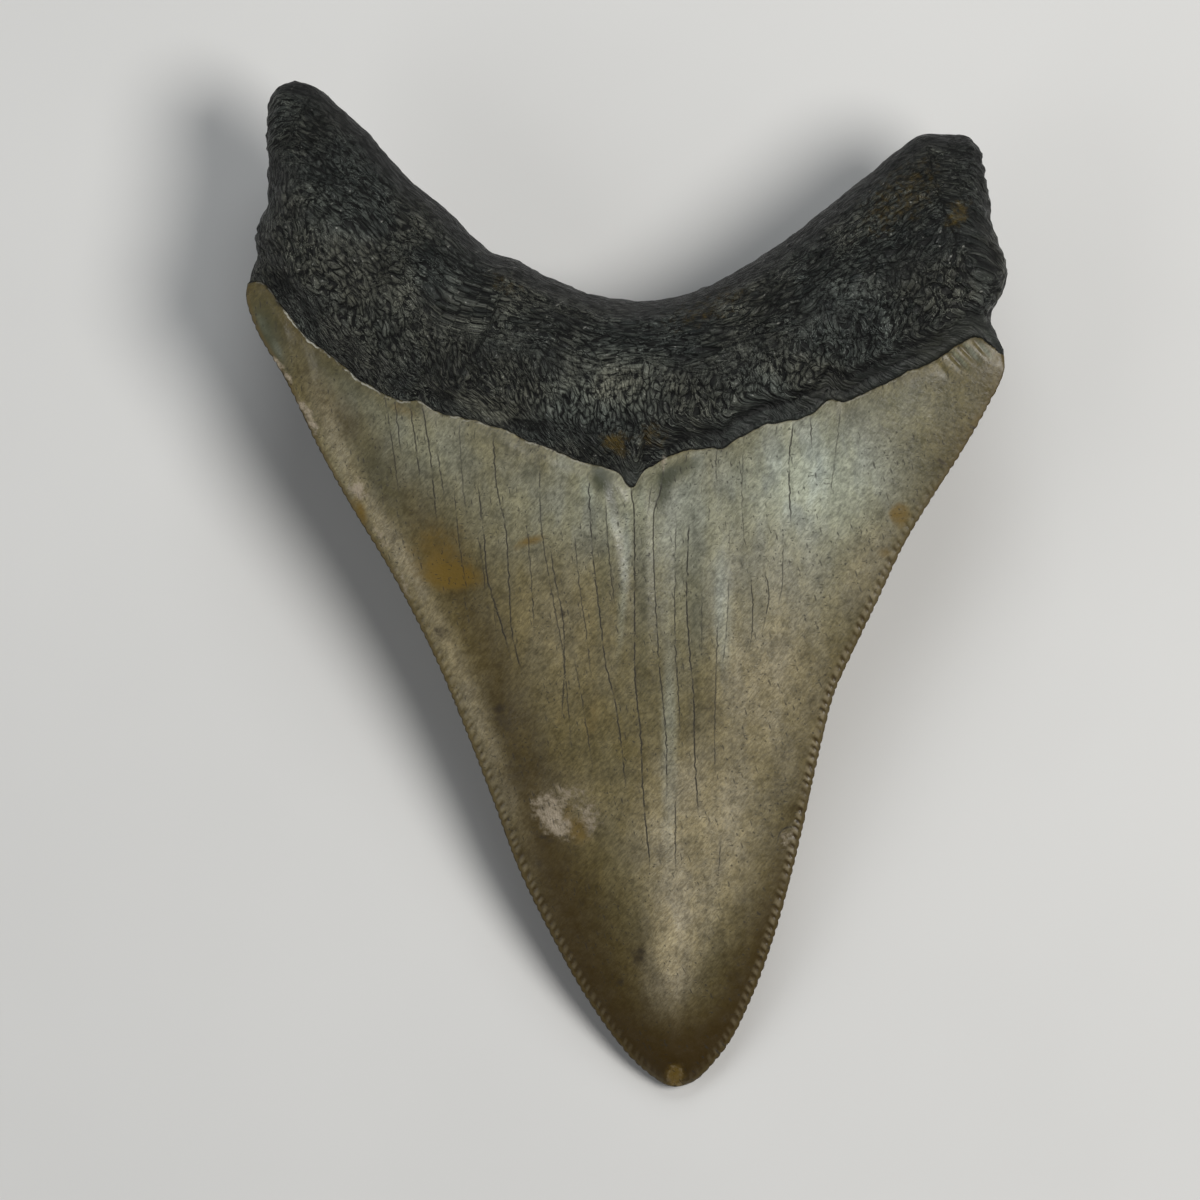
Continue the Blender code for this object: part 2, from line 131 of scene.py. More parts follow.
def smoothstep(value: Array, start: float = 0.0, end: float = 1.0) -> Array:
    """Steps smoothly from 0 to 1.

    Args:
        value: The values to step on.
        start: Where the step is still 0.
        end: Where it has reached 1.

    Returns:
        The steps, one for each value.
    """
    share = np.clip((value - start) / (end - start), 0.0, 1.0)
    return share * share * (3.0 - 2.0 * share)


def profile(table: Line, where: Array) -> Array:
    """Reads a table of places and values, joined smoothly.

    Args:
        table: Pairs of place and value, with rising places.
        where: The places to read it at.

    Returns:
        The value at each place.
    """
    x, y = np.array(table).T
    slope = np.gradient(y, x)
    k = np.clip(np.searchsorted(x, where) - 1, 0, len(x) - 2)
    width = x[k + 1] - x[k]
    t = np.clip((where - x[k]) / width, 0.0, 1.0)
    return (
        (2 * t**3 - 3 * t**2 + 1) * y[k]
        + (t**3 - 2 * t**2 + t) * width * slope[k]
        + (3 * t**2 - 2 * t**3) * y[k + 1]
        + (t**3 - t**2) * width * slope[k + 1]
    )


def curve_through(points: Line | Array, step: float, parts: int = 1) -> Array:
    """Walks along a smooth curve through some points.

    Args:
        points: The points that the curve passes through.
        step: The length of a step, adjusted so that whole steps fit.
        parts: How many equal parts each step is split into.

    Returns:
        The points at the ends of all parts.
    """
    p = np.array(points, float)
    along = np.concatenate([[0.0], np.cumsum(np.sqrt(np.linalg.norm(np.diff(p, axis=0), axis=1)))])
    fine = np.linspace(0.0, along[-1], 40 * len(p))
    curve = np.stack([profile(np.stack([along, p[:, i]], 1), fine) for i in (0, 1)], axis=1)
    length = np.concatenate([[0.0], np.cumsum(np.linalg.norm(np.diff(curve, axis=0), axis=1))])
    even = np.linspace(0.0, length[-1], max(1, round(length[-1] / step)) * parts + 1)
    return np.stack([np.interp(even, length, curve[:, i]) for i in (0, 1)], axis=1)


def normals_of(line: Array) -> Array:
    """Finds the unit normals of an open line.

    Args:
        line: The line's points.

    Returns:
        A normal for each point, to the left of the way the line runs.
    """
    run = np.gradient(line, axis=0)
    run /= np.linalg.norm(run, axis=1)[:, None]
    return np.stack([-run[:, 1], run[:, 0]], axis=1)


def nearest(points: Array, line: Array) -> tuple[Array, Array]:
    """Measures points against a line of straight segments.

    Args:
        points: The points to measure.
        line: The line's own points.

    Returns:
        Each point's distance to the line, and how far along the line its nearest place is.
    """
    start, run = line[:-1], np.diff(line, axis=0)
    square = (run * run).sum(1)
    before = np.concatenate([[0.0], np.cumsum(np.sqrt(square))])
    distance, along = np.empty(len(points)), np.empty(len(points))
    for first in range(0, len(points), CHUNK):
        chunk = slice(first, first + CHUNK)
        away = points[chunk, None, :] - start
        t = np.clip((away * run).sum(2) / square, 0.0, 1.0)
        gap = np.linalg.norm(away - t[:, :, None] * run, axis=2)
        best = gap.argmin(1)
        rows = np.arange(len(best))
        distance[chunk] = gap[rows, best]
        along[chunk] = before[best] + t[rows, best] * np.sqrt(square[best])
    return distance, along


def both(a: Array, b: Array) -> Array:
    """Joins two distances into a smooth one that is zero only where one of them is."""
    return a + b - np.sqrt(a * a + b * b)


def inside(points: Array, loop: Array) -> Array:
    """Finds the points within a closed loop.

    Args:
        points: The points to test.
        loop: The loop's points, in order.

    Returns:
        True for each point that lies inside.
    """
    found = np.zeros(len(points), bool)
    for a, b in zip(loop, np.roll(loop, -1, axis=0)):
        crosses = (a[1] > points[:, 1]) != (b[1] > points[:, 1])
        if crosses.any():
            x = a[0] + (points[:, 1] - a[1]) * (b[0] - a[0]) / (b[1] - a[1] or 1e-12)
            found ^= crosses & (points[:, 0] < x)
    return found


def clear_of(kept: Array, new: Array, gap: float) -> Array:
    """Drops new points that crowd the ones already kept.

    Args:
        kept: The points already there.
        new: The points to thin out.
        gap: The least distance between a new point and a kept one.

    Returns:
        The new points that are far enough from every kept one.
    """
    tree = kdtree.KDTree(len(kept))
    for i, (x, y) in enumerate(kept):
        tree.insert((x, y, 0.0), i)
    tree.balance()
    return np.array([point for point in new if tree.find((*point, 0.0))[2] >= gap]).reshape(-1, 2)


def swell(x: Array, y: Array, z: Array | float = 0.0, octaves: int = 1) -> Array:
    """Reads smooth seeded noise at many places.

    Args:
        x: First coordinate, in units of the swells' size.
        y: Second coordinate.
        z: Third coordinate, or a seed that sets one field apart from another.
        octaves: How many layers of ever finer noise to add.

    Returns:
        Values from about -1 to 1.
    """
    total = np.zeros(len(x))
    z = np.broadcast_to(z, x.shape)
    for octave in range(octaves):
        k = 2.0**octave
        places = zip(x * k, y * k, z * k + 17.0 * octave)
        total += np.array([noise.noise(Vector(place)) for place in places]) / k
    return total


def each(kind: type, *rows: tuple) -> tuple:
    """Makes one object of a kind from each row of its fields."""
    return tuple(kind(*row) for row in rows)


def lattice(step: float, low: float, high: float) -> Array:
    """Lays out a triangular lattice.

    Args:
        step: The distance between neighbours.
        low: Where it starts, in y.
        high: Where it ends, in y.

    Returns:
        The lattice's points, across the tooth's whole width.
    """
    rows = np.arange(low, high, step * math.sqrt(3) / 2)
    across = np.arange(-HALF_WIDTH, HALF_WIDTH, step)
    return np.concatenate([
        np.stack([across + (i % 2) * step / 2, np.full(len(across), y)], 1) for i, y in enumerate(rows)
    ])


@dataclass(frozen=True)
class Serrations:
    """The saw teeth of a cutting edge: a thin low rim, and short ribs between hollows inside it."""

    pitch: float = 0.92
    height: float = 0.12
    fade: float = 5.0
    rim: tuple[float, float] = (0.22, 0.46)
    rib_end: tuple[float, float] = (0.62, 1.08)
    hollow_depth: float = 0.09
    wear_length: float = 2.3
    lean: float = 0.55
    parts: int = 8
    sharp_left: Line = ((0.0, 0.1), (5.0, 0.4), (14.0, 0.75), (40.0, 0.7), (49.0, 0.4), (56.0, 0.06),
                        (82.0, 0.0))
    sharp_right: Line = ((0.0, 0.15), (6.0, 0.7), (12.0, 1.0), (50.0, 1.0), (57.0, 0.6), (63.0, 0.25),
                         (74.0, 0.05))

    def wave(self, along: Array, seed: float) -> Array:
        """Follows the peaks and notches along an edge.

        Args:
            along: Distance along the edge.
            seed: Sets one edge's wear apart from the other's.

        Returns:
            1 on a peak and 0 in a notch, lower where the peaks are worn.
        """
        drift = 0.42 * swell(along / 1.6, along * 0.0, seed)
        peak = np.abs(np.cos(math.pi * (along / self.pitch + drift)))
        wear = smoothstep(swell(along / self.wear_length, along * 0.0, seed + 5.0), -0.15, 0.5)
        return peak * (1.0 - 0.75 * wear) + 0.5 * wear

    def window(self, depth: Array) -> Array:
        """Gives the strip inside the rim that the ribs and hollows fill, from 0 to 1."""
        return smoothstep(depth, *self.rim) * (1.0 - smoothstep(depth, *self.rib_end))


@dataclass(frozen=True)
class Outline:
    """The tooth's outline seen from above, in three sides that meet at the lobe ends and at the tip."""

    left_root: Line = (
        (-33.2, 50.4), (-34.8, 49.8), (-35.5, 48.8), (-36.0, 45.6), (-35.8, 41.8), (-36.1, 37.7),
        (-36.7, 36.2), (-37.2, 34.8), (-36.9, 32.6), (-37.4, 31.6), (-37.9, 30.1),
    )
    left_cutting: Line = (
        (-37.9, 30.1), (-38.0, 28.7), (-36.9, 25.4), (-34.1, 20.6), (-30.6, 13.4), (-27.7, 8.2),
        (-23.6, 1.4), (-19.2, -7.2), (-16.1, -14.6), (-13.4, -21.6), (-10.9, -28.3), (-7.7, -34.9),
        (-4.0, -41.5), (0.0, -47.0), (2.1, -49.0), (3.9, -50.2), (4.8, -50.4),
    )
    right_root: Line = (
        (33.1, 45.1), (34.4, 44.5), (35.4, 42.8), (36.0, 38.6), (36.5, 35.7), (37.7, 32.3), (37.9, 30.8),
        (37.3, 29.2), (36.2, 26.6), (36.7, 25.2), (37.5, 23.6),
    )
    right_cutting: Line = (
        (37.5, 23.6), (37.5, 21.4), (35.7, 17.6), (33.3, 13.4), (30.3, 8.7), (27.6, 4.2), (24.7, -2.0),
        (22.3, -7.0), (20.7, -10.6), (19.0, -17.4), (17.4, -24.8), (15.7, -31.7), (14.0, -37.3),
        (12.4, -41.5), (10.4, -45.6), (8.6, -48.0), (6.9, -49.7), (5.5, -50.3), (4.8, -50.4),
    )
    basal: Line = (
        (-33.2, 50.4), (-31.1, 49.8), (-29.3, 48.3), (-25.5, 44.8), (-21.7, 40.5), (-18.2, 37.7),
        (-14.5, 34.0), (-13.2, 33.2), (-11.3, 32.7), (-7.7, 30.8), (-3.5, 29.2), (1.2, 28.5),
        (5.1, 29.0), (8.1, 30.0), (13.8, 33.2), (18.9, 37.0), (24.0, 41.0), (28.2, 44.4),
        (29.5, 45.1), (31.4, 45.0), (33.1, 45.1),
    )
    tip_y: float = -50.4
    root_step: float = 0.34
    side_step: float = 0.5
    roughness: float = 0.09
    serrations: Serrations = Serrations()

    def left(self) -> Array:
        """Gives the smooth left side, from the lobe's end to the tip."""
        return curve_through(self.left_root + self.left_cutting[1:], self.side_step)

    def right(self) -> Array:
        """Gives the smooth right side, from the lobe's end to the tip."""
        return curve_through(self.right_root + self.right_cutting[1:], self.side_step)

    def basal_side(self) -> Array:
        """Gives the smooth basal edge, from the left lobe's end to the right one's."""
        return curve_through(self.basal, self.side_step)

    def sawn(self, face_depth: float, cutting: Line, inward: float, parts: int) -> Array:
        """Traces a serrated edge, or a line that runs beside it inside the crown.

        Args:
            face_depth: How far inside the edge the line runs.
            cutting: The edge's own points.
            inward: 1 where the crown is to the left of the way the edge runs, and -1 otherwise.
            parts: Points for each serration.

        Returns:
            The line's points.
        """
        saw = self.serrations
        line = curve_through(cutting, saw.pitch, parts)
        along = np.linspace(0.0, saw.pitch * (len(line) - 1) / parts, len(line))
        fade = smoothstep(along, 0.0, saw.fade) * smoothstep(along[::-1], 0.0, saw.fade)
        share = fade * max(0.0, 1.0 - face_depth / saw.rib_end[1])
        notch = saw.height * share * (0.5 - saw.wave(along, inward))
        return line + inward * normals_of(line) * (face_depth + notch)[:, None]

    def rooted(self, side: Line, depth: float, inward: float) -> Array:
        """Traces a rough edge of the root, or a line that runs beside it inside the root.

        Args:
            side: The edge's own points.
            depth: How far inside the edge the line runs.
            inward: 1 where the root is to the left of the way the edge runs, and -1 otherwise.

        Returns:
            The line's points.
        """
        line = curve_through(side, self.root_step)
        ends = np.minimum(np.arange(len(line)), np.arange(len(line))[::-1]) * self.root_step
        rough = self.roughness * swell(*(line / 1.3).T, 31.0, 2) * smoothstep(ends, 0.0, 1.0)
        return line + inward * normals_of(line) * (depth + rough)[:, None]

    def loop(self) -> Array:
        """Closes the outline, running anticlockwise seen from above.

        Returns:
            The outline's points, each once.
        """
        parts = self.serrations.parts
        sides = [
            self.rooted(self.basal, 0.0, -1.0)[::-1],
            self.rooted(self.left_root, 0.0, 1.0),
            self.sawn(0.0, self.left_cutting, 1.0, parts),
            self.sawn(0.0, self.right_cutting, -1.0, parts)[::-1],
            self.rooted(self.right_root, 0.0, -1.0)[::-1],
        ]
        return np.concatenate([side[:-1] for side in sides])

    def rings(self, crown_depths: tuple[float, ...], parts: int, root_depths: tuple[float, ...]) -> Array:
        """Gathers the points just inside the outline.

        Args:
            crown_depths: How far inside the cutting edges the rings run.
            parts: Points for each serration.
            root_depths: How far inside the root's edges the rings run.

        Returns:
            The points of all rings, from the outermost inwards.
        """
        found = [np.empty((0, 2))]
        for depth in crown_depths:
            for cutting, inward in ((self.left_cutting, 1.0), (self.right_cutting, -1.0)):
                found.append(self.sawn(depth, cutting, inward, parts)[2:-2])
        for depth in root_depths:
            for side, inward in ((self.basal, -1.0), (self.left_root, 1.0), (self.right_root, -1.0)):
                found.append(self.rooted(side, depth, inward)[1:-1])
        return np.concatenate(found)


@dataclass(frozen=True)
class EnamelLine:
    """Where one tissue ends on a face, as y against x, with a ragged course."""

    points: Line
    jag: float
    jag_length: float
    step: float
    seed: float

    def course(self) -> Array:
        """Gives the ragged line's points.

        Returns:
            The points, with rising x.
        """
        line = curve_through(self.points, self.step)
        rag = self.jag * swell(line[:, 0] / self.jag_length, line[:, 1] / self.jag_length, self.seed, 3)
        return np.stack([line[:, 0], line[:, 1] + rag], axis=1)

    def over(self, x: Array, y: Array) -> Array:
        """Measures how far points are over the line.

        Args:
            x: The points' x.
            y: The points' y.

        Returns:
            Distances, positive on the root's side.
        """
        line, smooth = self.course(), np.array(self.points)
        slope = np.interp(x, smooth[1:, 0], np.diff(smooth[:, 1]) / np.diff(smooth[:, 0]))
        return (y - np.interp(x, *line.T)) / np.sqrt(1.0 + np.clip(slope, -1.5, 1.5) ** 2)

    def beside(self, offset: float) -> Array:
        """Gives points that run beside the line, an offset towards the root.

        Args:
            offset: How far beside it, towards the root.

        Returns:
            The points.
        """
        line = self.course()
        smooth = curve_through(self.points, self.step)
        return line + offset * normals_of(smooth)


class Place:
    """What the forms need to know about each point inside the outline."""

    track_step = 0.4
    end_gap = 1e-6

    def __init__(self, points: Array, outline: Outline, face: Face) -> None:
        """Measures the points.

        Args:
            points: Their x and y.
            outline: The outline that they lie in.
            face: The face that they are on.
        """
        self.points, self.face = points, face
        self.x, self.y = points.T
        self.from_tip = self.y - outline.tip_y
        left, right, basal = outline.left(), outline.right(), outline.basal_side()
        self.to_left, _ = nearest(points, left)
        self.to_right, _ = nearest(points, right)
        self.to_basal, self.along_basal = nearest(points, basal)
        self.basal_run, self.basal_depth = self.run_beside(basal)
        self.to_edge = both(both(self.to_left, self.to_right), self.to_basal)
        left_x = np.interp(self.y, *left[np.argsort(left[:, 1])].T[::-1])
        right_x = np.interp(self.y, *right[np.argsort(right[:, 1])].T[::-1])
        middle, half = (left_x + right_x) / 2, (right_x - left_x) / 2
        self.across = np.clip((self.x - middle) / np.maximum(half, 1e-6), -1.0, 1.0)
        saw = outline.serrations
        edges = ((outline.left_cutting, 1.0, saw.sharp_left),
                 (outline.right_cutting, -1.0, saw.sharp_right))
        self.to_cutting = np.full(len(points), np.inf)
        self.rib, self.hollow = np.zeros(len(points)), np.zeros(len(points))
        for cutting, seed, sharpness in edges:
            depth, along = nearest(points, curve_through(cutting, self.track_step))
            wave = saw.wave(along + saw.lean * depth, seed)
            strip = saw.window(depth) * profile(sharpness, self.from_tip)
            closer = depth < self.to_cutting
            self.rib = np.where(closer, strip * smoothstep(wave, 0.55, 1.0), self.rib)
            self.hollow = np.where(closer, strip * (1.0 - smoothstep(wave, 0.25, 0.85)), self.hollow)
            self.to_cutting = np.minimum(self.to_cutting, depth)

    def swell(self, across: float, along: float, seed: Array | float = 0.0, octaves: int = 1) -> Array:
        """Reads smooth seeded noise at the points, with swells of the given sizes."""
        return swell(self.x / across, self.y / along, seed, octaves)

    def down(self, table: Line) -> Array:
        """Reads a table of distances from the tip at the points."""
        return profile(table, self.from_tip)

    def run_beside(self, basal: Array) -> tuple[Array, Array]:
        """Measures along and away from the basal edge, going straight on past both of its ends.

        Args:
            basal: The basal edge's points, from the left lobe's end to the right one's.

        Returns:
            How far along each point is, and how far inside the edge or its straight extension.
        """
        run, depth = self.along_basal.copy(), self.to_basal.copy()
        past_left = self.along_basal < self.end_gap
        past_right = self.along_basal > self.along_basal.max() - self.end_gap
        for past, end, step in ((past_left, basal[0], basal[1] - basal[0]),
                                (past_right, basal[-1], basal[-1] - basal[-2])):
            step = step / np.linalg.norm(step)
            offset = self.points[past] - end
            run[past] = self.along_basal[past] + offset @ step
            depth[past] = offset @ np.array([step[1], -step[0]])
        return run, depth


@dataclass(frozen=True)
class Spot:
    """A soft oval patch: a hollow, a swelling or a stain."""

    x: float
    y: float
    across: float
    along: float
    amount: float
    turn: float = 0.0
    power: float = 1.5

    def at(self, place: Place) -> Array:
        """Gives the patch's amount at each point.

        Args:
            place: The points.

        Returns:
            The amounts.
        """
        c, s = math.cos(math.radians(self.turn)), math.sin(math.radians(self.turn))
        dx, dy = place.x - self.x, place.y - self.y
        r = ((c * dx + s * dy) / self.across) ** 2 + ((c * dy - s * dx) / self.along) ** 2
        return self.amount * np.exp(-(r**self.power))

    def rings(self, shares: tuple[float, ...], count: int = 12) -> Array:
        """Gives points on rings round the patch's middle, as shares of its size.

        Args:
            shares: The rings' sizes, as shares of the patch's.
            count: Points on each ring.

        Returns:
            The points.
        """
        turns = np.arange(count) * 2 * math.pi / count
        found = [(self.x + k * self.across * np.cos(turns), self.y + k * self.along * np.sin(turns))
                 for k in shares]
        return np.unique(np.round(np.hstack(found).T, 4), axis=0)


@dataclass(frozen=True)
class Fold:
    """A straight rounded fold between two points, fading at both ends."""

    start: tuple[float, float]
    end: tuple[float, float]
    half_width: float
    height: float

    def at(self, place: Place) -> Array:
        """Gives the fold's height at each point.

        Args:
            place: The points.

        Returns:
            The heights, negative for a hollow.
        """
        run = np.subtract(self.end, self.start)
        away = place.points - self.start
        t = away @ run / (run @ run)
        side = (away[:, 0] * run[1] - away[:, 1] * run[0]) / np.linalg.norm(run)
        fade = smoothstep(t, -0.1, 0.1) * smoothstep(1.0 - t, 0.0, 0.5)
        return self.height * fade * np.exp(-((side / self.half_width) ** 2))

    def points(self, step: float) -> Array:
        """Gives points on lines along the fold, from its middle to its feet.

        Args:
            step: The distance between points along a line.

        Returns:
            The points.
        """
        line = curve_through((self.start, self.end), step)
        side = normals_of(line) * self.half_width
        return np.concatenate([line + k * side for k in (0.0, 0.6, -0.6, 1.3, -1.3, 2.0, -2.0)])


@dataclass(frozen=True)
class Cracks:
    """Hairline cracks down the enamel: each a strength and the points that it passes."""

    lines: tuple[tuple[float, Line], ...] = (
        (0.7, ((-21.7, 18.2), (-20.9, 12.4), (-20.6, 9.6))), (0.8, ((-20.5, 18.2), (-19.7, 13.3),
        (-19.2, 8.3), (-19.0, 6.4))), (0.6, ((-19.0, 13.6), (-18.2, 8.3))), (0.8, ((-13.4, 14.7),
        (-13.0, 9.6), (-12.2, 6.0), (-11.8, -0.4), (-11.5, -4.9), (-10.3, -9.6))), (0.9, ((-14.9, 9.9),
        (-14.3, 4.8), (-14.0, 0.9), (-12.5, -4.2), (-11.5, -7.8))), (0.5, ((-14.9, 5.1), (-14.3, 0.9),
        (-14.2, -1.9))), (0.5, ((-10.2, 14.9), (-10.1, 13.0))), (0.5, ((-7.0, 13.4), (-7.1, 11.1))),
        (0.8, ((-3.9, 11.2), (-3.8, 8.3), (-3.5, 3.5), (-2.7, -3.5), (-2.2, -7.7), (-1.2, -11.8),
        (-0.3, -18.8), (-0.1, -20.7))), (0.5, ((-2.2, 8.6), (-2.0, 4.8), (-1.2, -2.9))),
        (1.0, ((0.3, 10.0), (0.4, 9.0), (0.6, 7.9), (0.7, 1.8), (0.7, -3.5), (0.8, -9.9), (1.3, -14.7),
        (1.5, -19.5), (1.8, -23.6), (2.1, -26.4), (2.3, -29.0))), (0.7, ((3.6, 11.7), (3.2, 9.1),
        (2.7, 7.8), (2.6, 2.9), (2.9, -3.5), (3.2, -8.3), (3.7, -13.1), (3.9, -16.3), (3.9, -22.0))),
        (0.6, ((4.8, 1.6), (4.7, -1.6), (4.8, -6.7), (5.1, -11.2), (5.3, -15.3))), (1.0, ((6.1, 6.0),
        (5.9, -1.6), (6.3, -7.7), (6.6, -10.9), (6.7, -16.3), (6.9, -20.1), (7.1, -23.0))),
        (0.6, ((8.9, 13.6), (8.8, 11.3), (9.0, 9.6))), (0.5, ((8.1, 8.4), (8.1, 6.1))),
        (0.5, ((9.0, -3.5), (8.8, -9.9), (8.7, -15.0), (8.8, -19.4))), (0.5, ((-17.3, 9.5), (-16.7, 3.6),
        (-16.1, 0.0))), (0.5, ((-10.1, 7.0), (-9.6, 0.6), (-9.3, -5.0))), (0.5, ((-5.3, 5.0), (-4.8, 0.0),
        (-4.1, -4.8), (-3.6, -9.5))), (0.5, ((-5.3, -7.4), (-4.7, -10.5), (-4.1, -14.1), (-3.4, -18.6))),
        (0.4, ((-13.4, -0.3), (-13.1, -5.2))), (0.4, ((7.4, -0.6), (7.4, -7.6))), (0.5, ((4.85, 6.8),
        (4.7, 1.8))), (0.5, ((15.5, 5.4), (15.4, 0.0), (14.9, -2.8))), (0.5, ((9.3, -25.6),
        (9.1, -29.4))), (0.7, ((4.75, -21.2), (6.1, -19.7))), (0.5, ((10.2, 5.4), (10.1, 2.9))),
        (0.6, ((12.3, 0.9), (12.5, -2.9), (12.2, -6.7))), (0.6, ((13.7, 1.6), (14.1, -1.0),
        (13.4, -4.8))), (1.0, ((16.5, 16.2), (16.1, 12.4), (16.3, 6.0))), (0.7, ((18.2, 16.6),
        (18.4, 13.4))), (0.6, ((4.8, -21.1), (4.8, -29.0))), (0.5, ((2.4, 10.2), (2.0, 7.3), (1.8, 6.2))),
        (0.5, ((5.1, 12.2), (4.8, 11.3))), (0.5, ((5.6, 6.5), (5.3, 5.1))), (0.5, ((-24.3, 19.6),
        (-23.4, 13.8), (-22.8, 9.0))), (0.4, ((-16.8, 16.4), (-16.5, 11.0), (-15.9, 5.5))),
        (0.4, ((11.6, 15.0), (11.4, 9.5), (11.6, 4.0))), (0.4, ((21.3, 18.2), (20.6, 12.2), (20.1, 8.0))),
        (0.6, ((-23.2, 18.6), (-22.5, 12.5))), (0.5, ((-8.8, 12.8), (-8.6, 6.0), (-7.6, -0.5),
        (-6.4, -7.0), (-5.9, -12.5), (-5.6, -15.8))), (0.6, ((-7.7, 3.6), (-7.1, 0.0), (-6.5, -2.8),
        (-6.3, -7.5), (-6.6, -13.6))), (0.4, ((10.1, 1.0), (9.9, -4.0), (9.3, -9.5))),
        (0.9, ((16.8, -24.1), (15.7, -24.3), (15.2, -25.0), (14.9, -25.9))), (0.8, ((35.7, 19.35),
        (36.6, 18.9))), (0.9, ((33.8, 16.2), (34.9, 15.6))), (0.8, ((31.9, 13.8), (32.8, 13.1))),
    )
    step: float = 0.3
    half_width: float = 0.1
    depth: float = 0.015
    waver: float = 0.13

    def courses(self) -> list[tuple[float, Array]]:
        """Gives each crack's strength and its slightly wavering course.

        Returns:
            Pairs of strength and points.
        """
        found = []
        for seed, (strength, points) in enumerate(self.lines):
            line = curve_through(points, self.step)
            sway = self.waver * swell(line[:, 1] / 0.7, line[:, 0] * 0.0, 3.0 * seed, 3)
            found.append((strength, line + normals_of(line) * sway[:, None]))
        return found

    def points(self) -> Array:
        """Gives the points that the mesh needs on the cracks and at their lips.

        Returns:
            The points.
        """
        found = []
        for _, line in self.courses():
            side = normals_of(line) * self.half_width
            found += [line, line + side, line - side]
        return np.concatenate(found)

    def mask(self, place: Place) -> Array:
        """Finds how deep in a crack each point is.

        Args:
            place: The points.

        Returns:
            1 in the middle of a strong crack and 0 outside them all.
        """
        deepest = np.zeros(len(place.x))
        for strength, line in self.courses():
            low, high = line.min(0) - 1.0, line.max(0) + 1.0
            near = ((place.points > low) & (place.points < high)).all(1)
            gap, along = nearest(place.points[near], line)
            length = self.step * (len(line) - 1)
            taper = smoothstep(along, -0.6, 1.2) * smoothstep(length - along, -0.6, 2.5)
            value = strength * taper * (1.0 - np.clip(gap / self.half_width, 0.0, 1.0))
            deepest[near] = np.maximum(deepest[near], value)
        return deepest


@dataclass(frozen=True)
class Crown:
    """The enamel crown: a nearly flat labial face and a domed lingual one."""

    edge_z: Line = ((0.0, 1.3), (5.0, 2.7), (15.0, 5.8), (30.0, 9.5), (45.0, 12.9), (60.0, 15.7),
                    (72.0, 17.4), (82.0, 18.3))
    labial_rise: Line = ((0.0, 0.0), (0.5, 0.5), (1.5, 0.9), (5.0, 1.4), (15.0, 2.1), (30.0, 2.4),
                         (45.0, 2.3), (60.0, 1.9), (80.0, 1.6))
    lingual_depth: Line = ((0.0, 0.0), (0.5, 0.8), (1.5, 1.4), (5.0, 2.7), (15.0, 5.5), (30.0, 8.6),
                           (45.0, 11.1), (55.0, 12.6), (80.0, 13.0))
    labial_power: Line = ((0.0, 1.6), (15.0, 1.7), (35.0, 2.4), (60.0, 3.6))
    lingual_power: float = 2.0
    furrow: float = 0.38
    furrow_offset: float = 4.9
    furrow_half_width: float = 2.1
    furrow_start: tuple[float, float] = (18.0, 38.0)
    right_furrow_share: float = 0.6
    folds: tuple[Fold, ...] = each(
        Fold,
        ((-2.6, 9.8), (0.4, -5.5), 0.8, 0.3), ((1.6, 9.0), (1.9, -12.0), 0.9, 0.22),
        ((5.4, 11.5), (4.6, -8.0), 1.3, -0.2), ((8.6, 6.0), (8.6, -26.0), 1.6, 0.2),
        ((2.0, -24.0), (4.4, -46.0), 1.4, 0.3), ((32.0, 23.3), (34.2, 21.1), 0.27, -0.28),
        ((33.1, 24.0), (35.3, 21.8), 0.27, -0.28), ((34.4, 24.7), (36.3, 22.5), 0.27, -0.24),
        ((30.6, 22.4), (32.4, 20.4), 0.3, -0.12), ((-34.6, 26.6), (-33.0, 19.6), 0.6, 0.12),
        ((-32.6, 24.6), (-30.6, 17.0), 0.6, 0.1),
    )
    spots: tuple[Spot, ...] = each(
        Spot,
        (-6, -22.6, 3, 2.2, -0.22), (-4.6, -24.6, 1.1, 0.9, -0.2), (17, -24.3, 1.4, 1.9, -0.45),
        (1.1, -37.1, 0.9, 0.9, -0.1), (4.8, -49.3, 0.9, 1.3, -0.45), (-13, -12.4, 1.8, 3.4, -0.25),
    )
    cracks: Cracks = Cracks()
    ripple: float = 0.022

    def edge(self, place: Place) -> Array:
        """Gives the height of the cutting edge at each point's distance from the tip."""
        return place.down(self.edge_z)

    def labial(self, place: Place) -> Array:
        """Gives the height of the labial enamel.

        Args:
            place: The points.

        Returns:
            The heights.
        """
        power = place.down(self.labial_power)
        height = self.edge(place)
        height = height + place.down(self.labial_rise) * (1 - np.abs(place.across) ** power)
        reach = smoothstep(place.from_tip, *self.furrow_start)
        for side, share in ((place.to_left, 1.0), (place.to_right, self.right_furrow_share)):
            groove = np.exp(-(((side - self.furrow_offset) / self.furrow_half_width) ** 2))
            height = height - self.furrow * share * reach * groove
        for form in self.folds + self.spots:
            height = height + form.at(place)
        return height

    def lingual(self, place: Place) -> Array:
        """Gives the height of the lingual enamel."""
        depth = place.down(self.lingual_depth)
        return self.edge(place) - depth * (1 - np.abs(place.across) ** self.lingual_power)

    def texture(self, place: Place, crack: Array, scar: Array) -> Array:
        """Gives the fine relief of the enamel, outwards from its face.

        Args:
            place: The points.
            crack: How deep in a crack each point is.
            scar: How damaged the enamel is there.

        Returns:
            Heights over the smooth face.
        """
        seed = 2.0 * place.face.value
        ripple = self.ripple * place.swell(1.7, 9.0, seed, 2)
        dents = 0.5 * self.ripple * place.swell(2.2, 2.2, seed + 3.0)
        rough = 0.12 * scar * place.swell(0.8, 0.5, seed + 9.0, 2)
        return ripple + dents + rough - self.cracks.depth * crack


